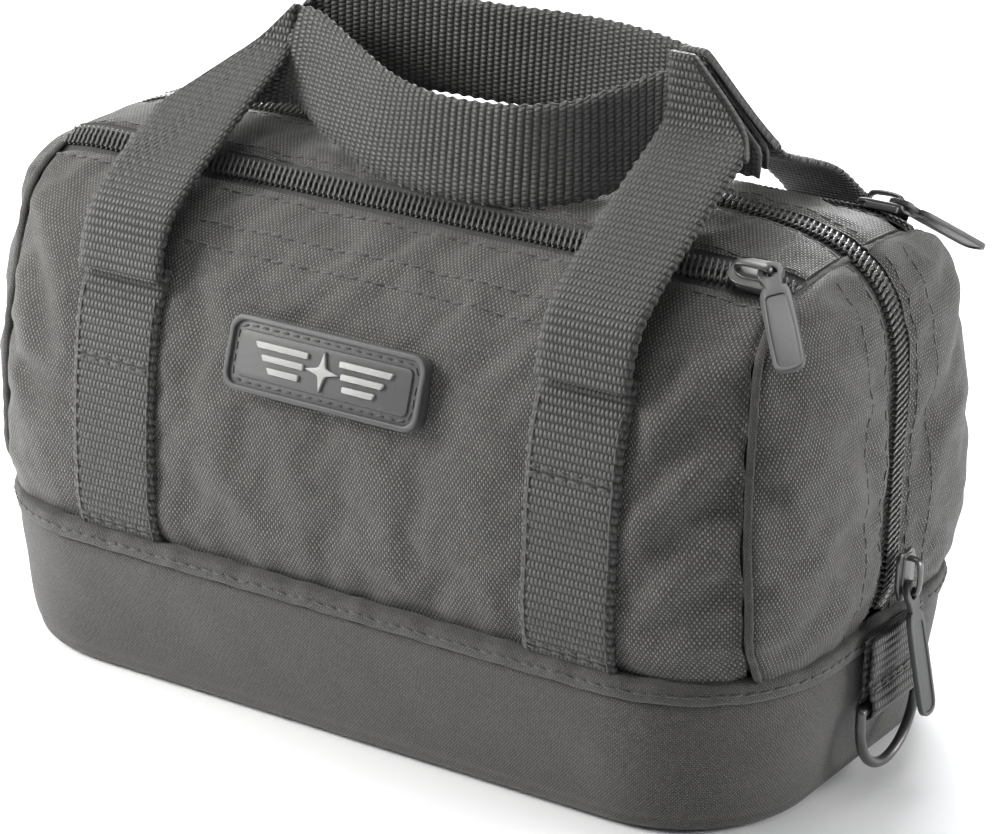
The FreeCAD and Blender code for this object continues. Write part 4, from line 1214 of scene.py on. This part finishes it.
# main zip: over the ridge and down both ends
angles = np.radians(np.linspace(-118, 118, 500))
origin = np.zeros((500, 3))
origin[:, 0] = 60 * np.clip(np.sin(angles) * 1.2, -1, 1)
origin[:, 2] = CENTRE_Z
direction = np.stack([np.sin(angles), 0 * angles, np.cos(angles)], 1)
ridge = shoot(origin, direction, 0.0)
ridge = ridge[ridge[:, 2] > 44.0]
ridge = resample(ridge, step=1.2)
normals = unit(np.stack([-np.gradient(ridge[:, 2]), 0 * ridge[:, 0], np.gradient(ridge[:, 0])], 1))
normals = away_from_middle(normals, ridge)
rows = zip_track("main_zip_coil", ridge, normals)
for side, coil in rows.items():
    middle = np.array([v.co.y for v in coil.data.vertices]).mean()
    half = -1 if middle < 0 else 1
    label = "front" if half < 0 else "rear"
    on_half(coil, half)
    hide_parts("main_zip_row_" + label)
    tape = ribbon("main_zip_tape_cloth_" + label, ridge, normals, 8.0, -1.5, 0.5, TAPE_CLOTH, (side,), 0.3)
    on_half(tape, half)
    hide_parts("main_zip_tape_" + label)

# ---------------------------------------------------------------- moulded and cast pieces

def rounded(points, steps=6):
    """Closed outline from (x, y, corner radius) points."""
    made = []
    count = len(points)
    for k, (x, y, r) in enumerate(points):
        here = np.array([x, y], float)
        before, after = np.array(points[k - 1][:2], float), np.array(points[(k + 1) % count][:2], float)
        if r <= 0:
            made.append(here)
            continue
        a = here + unit(before - here) * min(r, np.linalg.norm(before - here) * 0.5)
        b = here + unit(after - here) * min(r, np.linalg.norm(after - here) * 0.5)
        for t in np.linspace(0, 1, steps):
            made.append(a * (1 - t) ** 2 + here * 2 * t * (1 - t) + b * t ** 2)
    return np.array(made)


def box_outline(half_long, half_wide, corner, steps=10):
    return np.array([(sx * (half_long - corner) + corner * math.cos(t),
                      sy * (half_wide - corner) + corner * math.sin(t))
                     for sx, sy, start in ((1, 1, 0), (-1, 1, 90), (-1, -1, 180), (1, -1, 270))
                     for t in np.radians(start + np.linspace(0, 90, steps))])


def plate(outlines, low, high, bevel):
    """A flat plate with rounded edges from one outline and its holes, as (points, faces)."""
    curve = bpy.data.curves.new("outline", "CURVE")
    curve.dimensions, curve.fill_mode = "2D", "BOTH"
    curve.extrude = ((high - low) / 2 - bevel) * MM
    curve.bevel_depth, curve.bevel_resolution, curve.offset = bevel * MM, 2, -bevel * MM
    for outline_points in outlines:
        spline = curve.splines.new("POLY")
        spline.points.add(len(outline_points) - 1)
        for point, (x, y) in zip(spline.points, outline_points):
            point.co = (x * MM, y * MM, 0, 1)
        spline.use_cyclic_u = True
    obj = bpy.data.objects.new("outline", curve)
    bpy.context.scene.collection.objects.link(obj)
    mesh = bpy.data.meshes.new_from_object(obj.evaluated_get(bpy.context.evaluated_depsgraph_get()))
    bpy.data.objects.remove(obj)
    mesh.transform(Matrix.Translation((0, 0, (low + high) / 2 * MM)))
    return mesh


def assemble(name, parts, seat, material):
    """One object from several meshes, moved to its seat (a 4x4 matrix in metres)."""
    made = bmesh.new()
    for part in parts:
        made.from_mesh(part)
    bmesh.ops.remove_doubles(made, verts=made.verts[:], dist=0.000004)
    bmesh.ops.recalc_face_normals(made, faces=made.faces[:])
    mesh = bpy.data.meshes.new(name)
    made.to_mesh(mesh)
    made.free()
    mesh.materials.append(material)
    mesh.polygons.foreach_set("use_smooth", np.ones(len(mesh.polygons), bool))
    mesh.transform(seat)
    mesh.set_sharp_from_angle(angle=math.radians(35))
    obj = bpy.data.objects.new(name, mesh)
    bpy.context.scene.collection.objects.link(obj)
    return obj


def swept(path, widths, half_wide, half_thick, sides=10):
    """A closed rounded bar swept along a path; widths is the direction across it."""
    tangent = unit(np.gradient(path, axis=0))
    out = unit(np.cross(tangent, widths))
    t = np.linspace(0, 2 * PI, sides, endpoint=False)
    squarer = np.sign(np.cos(t)) * np.abs(np.cos(t)) ** 0.7, np.sign(np.sin(t)) * np.abs(np.sin(t)) ** 0.7
    p = (path[:, None] + widths[:, None] * (squarer[0] * half_wide)[None, :, None]
         + out[:, None] * (squarer[1] * half_thick)[None, :, None])
    index = np.arange(len(path) * sides).reshape(len(path), sides)
    index = np.hstack([index, index[:, :1]])
    faces = grid_faces(index).tolist() + [index[0, :-1].tolist(), index[-1, :-1][::-1].tolist()]
    mesh = bpy.data.meshes.new("bar")
    mesh.from_pydata((p.reshape(-1, 3) * MM).tolist(), [], faces)
    return mesh


def seat_at(origin, x_axis, z_axis):
    """Seat in metres for local pieces: X and Z axes given, Y between them."""
    x_axis, z_axis = unit(np.array(x_axis, float)), unit(np.array(z_axis, float))
    y_axis = np.cross(z_axis, x_axis)
    return Matrix.Translation(Vector(np.array(origin, float) * MM)) @ Matrix(
        np.array([x_axis, y_axis, z_axis]).T.tolist()).to_4x4()


def slider_piece(name, seat, eye_height, lips):
    """Cast zip slider: shaped upper plate, flanges round the chain and an arched bail."""
    body = rounded([(-6.5, -2.2, 1.0), (-3.4, -4.2, 2.0), (4.4, -4.3, 1.2), (6.5, -3.0, 1.2), (5.4, 0, 1.5),
                    (6.5, 3.0, 1.2), (4.4, 4.3, 1.2), (-3.4, 4.2, 2.0), (-6.5, 2.2, 1.0)])
    parts = [plate([body], 0.7, 1.8, 0.32)]
    parts.append(plate([rounded([(-5.0, -1.2, 0.6), (-2, -2.4, 1.0), (5.4, -2.2, 1.0), (5.4, 2.2, 1.0), (-2, 2.4, 1.0),
                                 (-5.0, 1.2, 0.6)])], 1.5, 2.15, 0.25))
    if lips:
        for side in (-1, 1):
            parts.append(plate([rounded([(-3.6, side * 3.35, 0.3), (4.6, side * 3.45, 0.3), (5.6, side * 3.4, 0.3),
                                         (5.0, side * 4.3, 0.5), (-3.2, side * 4.25, 0.5)])], -0.6, 1.0, 0.18))
    top = eye_height + 0.7 + 0.9 + 0.25
    arch = catmull([(4.4, 0, 1.4), (4.4, 0, top - 1.6), (3.9, 0, top - 0.45), (2.6, 0, top), (0, 0, top + 0.15),
                    (-2.6, 0, top), (-3.9, 0, top - 0.45), (-4.4, 0, top - 1.6), (-4.4, 0, 1.4)], 5)
    parts.append(swept(arch, np.repeat(Y_AXIS[None], len(arch), 0), 1.0, 0.58))
    return assemble(name, parts, seat, SLIDER_METAL)


def pull_piece(name, seat):
    """Cast blank pull: round eye, raised rim and a sunk plain field on both faces."""
    eye_arc = [(3.15 * math.cos(t), 3.15 * math.sin(t)) for t in np.radians(np.linspace(50, 310, 22))]
    blade = rounded([(4.6, -2.75, 0.8), (7.0, -3.7, 2.0), (19, -3.8, 4.0), (31.0, -3.6, 3.6), (31.0, 3.6, 3.6),
                     (19, 3.8, 4.0), (7.0, 3.7, 2.0), (4.6, 2.75, 0.8)])
    outer = np.vstack([eye_arc, blade])
    hole = [(1.5 * math.cos(t), 1.5 * math.sin(t)) for t in np.linspace(0, 2 * PI, 20, endpoint=False)]
    field = rounded([(7.4, -2.3, 1.2), (19, -2.75, 4.0), (29.9, -2.55, 2.2), (29.9, 2.55, 2.2), (19, 2.75, 4.0),
                     (7.4, 2.3, 1.2)])
    parts = [plate([outer, hole, field], -0.7, 0.7, 0.28)]
    core = rounded([(6.2, -2.9, 1.0), (19, -3.2, 4.0), (30.4, -3.0, 2.6), (30.4, 3.0, 2.6), (19, 3.2, 4.0),
                    (6.2, 2.9, 1.0)])
    parts.append(plate([core], -0.38, 0.38, 0.1))
    return assemble(name, parts, seat, PULL_METAL)


# height of the eye that a pull hangs on, on the pocket sliders and on the main slider
low_eye, high_eye = 0.7 + 1.1 + 0.2 + 0.7, 0.7 + 1.1 + 0.2 + 0.7 + 0.7
for name, sign, lean in (("front", -1, 35), ("rear", 1, 18)):
    out = np.array([0, sign * math.sin(ZIP_TILT), math.cos(ZIP_TILT)])
    down = np.array([0, sign * math.cos(ZIP_TILT), -math.sin(ZIP_TILT)])
    centre = np.array([97.0, sign * ZIP_Y, ZIP_Z])
    piece = slider_piece(name + "_zip_slider_cast", seat_at(centre, X_AXIS, out), low_eye, True)
    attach(piece, name + "_slider")
    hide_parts(name + "_zip_slider")
    hang = down * math.cos(math.radians(lean)) + X_AXIS * math.sin(math.radians(lean))
    piece = pull_piece(name + "_zip_pull_cast", seat_at(centre + X_AXIS * 4.4 + out * low_eye, hang, out))
    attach(piece, name + "_pull")
    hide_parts(name + "_zip_pull")
centre = np.array([122.8, 0, 55.0])
piece = slider_piece("main_zip_slider_cast", seat_at(centre, (0, 0, 1), X_AXIS), high_eye, False)
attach(piece, "main_slider")
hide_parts("main_zip_slider")
lean = math.radians(12)
hang, out = (math.sin(lean), 0, -math.cos(lean)), (math.cos(lean), 0, math.sin(lean))
piece = pull_piece("main_zip_pull_cast", seat_at(centre + X_AXIS * high_eye - UP * 4.4, hang, out))
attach(piece, "main_pull")
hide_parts("main_zip_pull")

# badge: moulded plate, raised rim, stitched groove, raised field with a plain winged star
badge_lean = math.radians(17)
badge_seat = seat_at((0, -62.9, 98), X_AXIS, (0, -math.cos(badge_lean), math.sin(badge_lean)))
outer = box_outline(28.5, 9.25, 4.0)
parts = [plate([outer], -1.3, 1.75, 0.3), plate([outer, box_outline(27.1, 7.85, 2.9)], 1.0, 2.6, 0.35),
         plate([box_outline(25.0, 5.75, 1.6)], 1.0, 2.25, 0.3)]
piece = assemble("front_badge_rubber", parts, badge_seat, RUBBER)
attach(piece, "front_half")
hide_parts("front_badge")
star = [(r * math.cos(t), r * math.sin(t)) for t, r in zip(np.linspace(PI / 2, PI * 2.5, 16, endpoint=False),
                                                           [4.9, 1.9, 1.5, 1.9] * 4)]
parts = [plate([star], 2.0, 3.0, 0.12)]
for side in (-1, 1):
    for k, long in enumerate((15.5, 12.5, 9.5)):
        x0, y0 = side * (4.6 + 0.9 * k), 2.9 - 2.9 * k
        x1 = x0 + side * long
        parts.append(plate([rounded([(x0, y0 - 0.75, 0.4), (x1 - side * 0.8, y0 - 0.75, 0.4), (x1, y0 + 0.75, 0.4),
                                     (x0, y0 + 0.75, 0.4)])], 2.0, 2.95, 0.2))
piece = assemble("front_badge_motif", parts, badge_seat, RUBBER_LIGHT)
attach(piece, "front_half")
groove = box_outline(26.1, 6.85, 2.3, 8)
groove = np.vstack([groove, groove[:1]])
local = np.column_stack([groove, np.full(len(groove), 1.78)])
turn_to_seat = np.array(badge_seat.to_3x3())
world_line = local @ turn_to_seat.T + np.array([0, -62.9, 98])
piece = sew("front_badge_stitches", [(world_line, np.repeat(turn_to_seat[:, 2][None], len(world_line), 0))],
            radius=0.3, stitch=2.1, gap=0.9)
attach(piece, "front_half")

# ---------------------------------------------------------------- CAD pieces that stay

KEPT = {"base_board": BOARD, "d_ring_right": RING_METAL, "d_ring_left": RING_METAL}
for node, material in KEPT.items():
    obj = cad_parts[node]
    obj.data.materials.clear()
    obj.data.materials.append(material)
    if not obj.data.uv_layers.get("cloth"):
        layer = obj.data.uv_layers.new(name="cloth")
        for loop_item in obj.data.loops:
            co = obj.data.vertices[loop_item.vertex_index].co / MM
            layer.data[loop_item.index].uv = (co.x + UV_SHIFT, co.y + UV_SHIFT)
    obj.data.polygons.foreach_set("use_smooth", np.ones(len(obj.data.polygons), bool))
    obj.data.set_sharp_from_angle(angle=math.radians(40))

# ---------------------------------------------------------------- stage

floor_shader = Shader("studio_floor", 0.75, Specular_IOR_Level=0.2)
floor_tone = floor_shader.do("MULTIPLY_ADD", floor_shader.noise(1.2, 2.0), 0.02, 0.93)
floor_shader.tint((0.98, 0.985, 1.0), floor_tone)
bpy.ops.mesh.primitive_plane_add(size=14, location=(0, 0, -0.0002))
floor = bpy.context.active_object
floor.name = "studio_floor"
floor.data.materials.append(floor_shader.material)

world = bpy.data.worlds.new("studio")
bpy.context.scene.world = world
world.use_nodes = True
# pale at the horizon, dim overhead, so that the backdrop is light and the fill stays low
sky = world.node_tree
sky.nodes["Background"].inputs["Color"].default_value = (0.90, 0.94, 1.0, 1)
sky_place = sky.nodes.new("ShaderNodeTexCoord")
sky_parts = sky.nodes.new("ShaderNodeSeparateXYZ")
sky_fade = sky.nodes.new("ShaderNodeMapRange")
sky.links.new(sky_place.outputs["Generated"], sky_parts.inputs[0])
sky.links.new(sky_parts.outputs["Z"], sky_fade.inputs["Value"])
for socket, value in (("From Min", 0.12), ("From Max", 0.3), ("To Min", 0.45), ("To Max", 0.03)):
    sky_fade.inputs[socket].default_value = value
sky.links.new(sky_fade.outputs["Result"], sky.nodes["Background"].inputs["Strength"])


def area_light(name, place_m, aim_m, size, power, colour=(1, 1, 1)):
    light = bpy.data.lights.new(name, "AREA")
    light.shape, light.size, light.size_y = "RECTANGLE", size, size
    light.energy, light.color = power, colour
    obj = bpy.data.objects.new(name, light)
    obj.location = place_m
    obj.rotation_euler = (Vector(aim_m) - Vector(place_m)).to_track_quat("-Z", "Y").to_euler()
    bpy.context.scene.collection.objects.link(obj)


area_light("key", (-0.60, -0.42, 0.42), (-0.05, 0, 0.07), 0.36, 10.0, (1.0, 0.985, 0.96))
area_light("right", (0.95, 0.55, 0.35), (0.05, 0, 0.08), 0.45, 8.5, (1.0, 0.99, 0.97))
area_light("top", (-0.1, 0.15, 1.0), (0, 0, 0.1), 0.6, 7.0)
area_light("overhead", (0, 0, 5.0), (0, 0.01, 0), 12.0, 230)
area_light("rear", (-0.5, 1.0, 0.6), (0, 0, 0.1), 0.6, 19, (0.98, 0.99, 1.0))

camera_data = bpy.data.cameras.new("camera")
camera_data.lens, camera_data.sensor_width, camera_data.clip_end = 126.0, 36.0, 50.0
camera = bpy.data.objects.new("camera", camera_data)
bpy.context.scene.collection.objects.link(camera)
azimuth, elevation, roll = math.radians(32.72), math.radians(20.86), math.radians(1.18)
back = Vector((math.sin(azimuth) * math.cos(elevation), -math.cos(azimuth) * math.cos(elevation),
               math.sin(elevation)))
right = Vector((math.cos(azimuth), math.sin(azimuth), 0))
above = back.cross(right)
right, above = (right * math.cos(roll) + above * math.sin(roll),
                above * math.cos(roll) - right * math.sin(roll))
camera.matrix_world = (Matrix.Translation(Vector((0.00846, 0, 0.06913)) + back * 0.8881)
                       @ Matrix((right, above, back)).transposed().to_4x4())
bpy.context.scene.camera = camera
bpy.context.scene.view_settings.view_transform = "Standard"

bpy.context.view_layer.update()
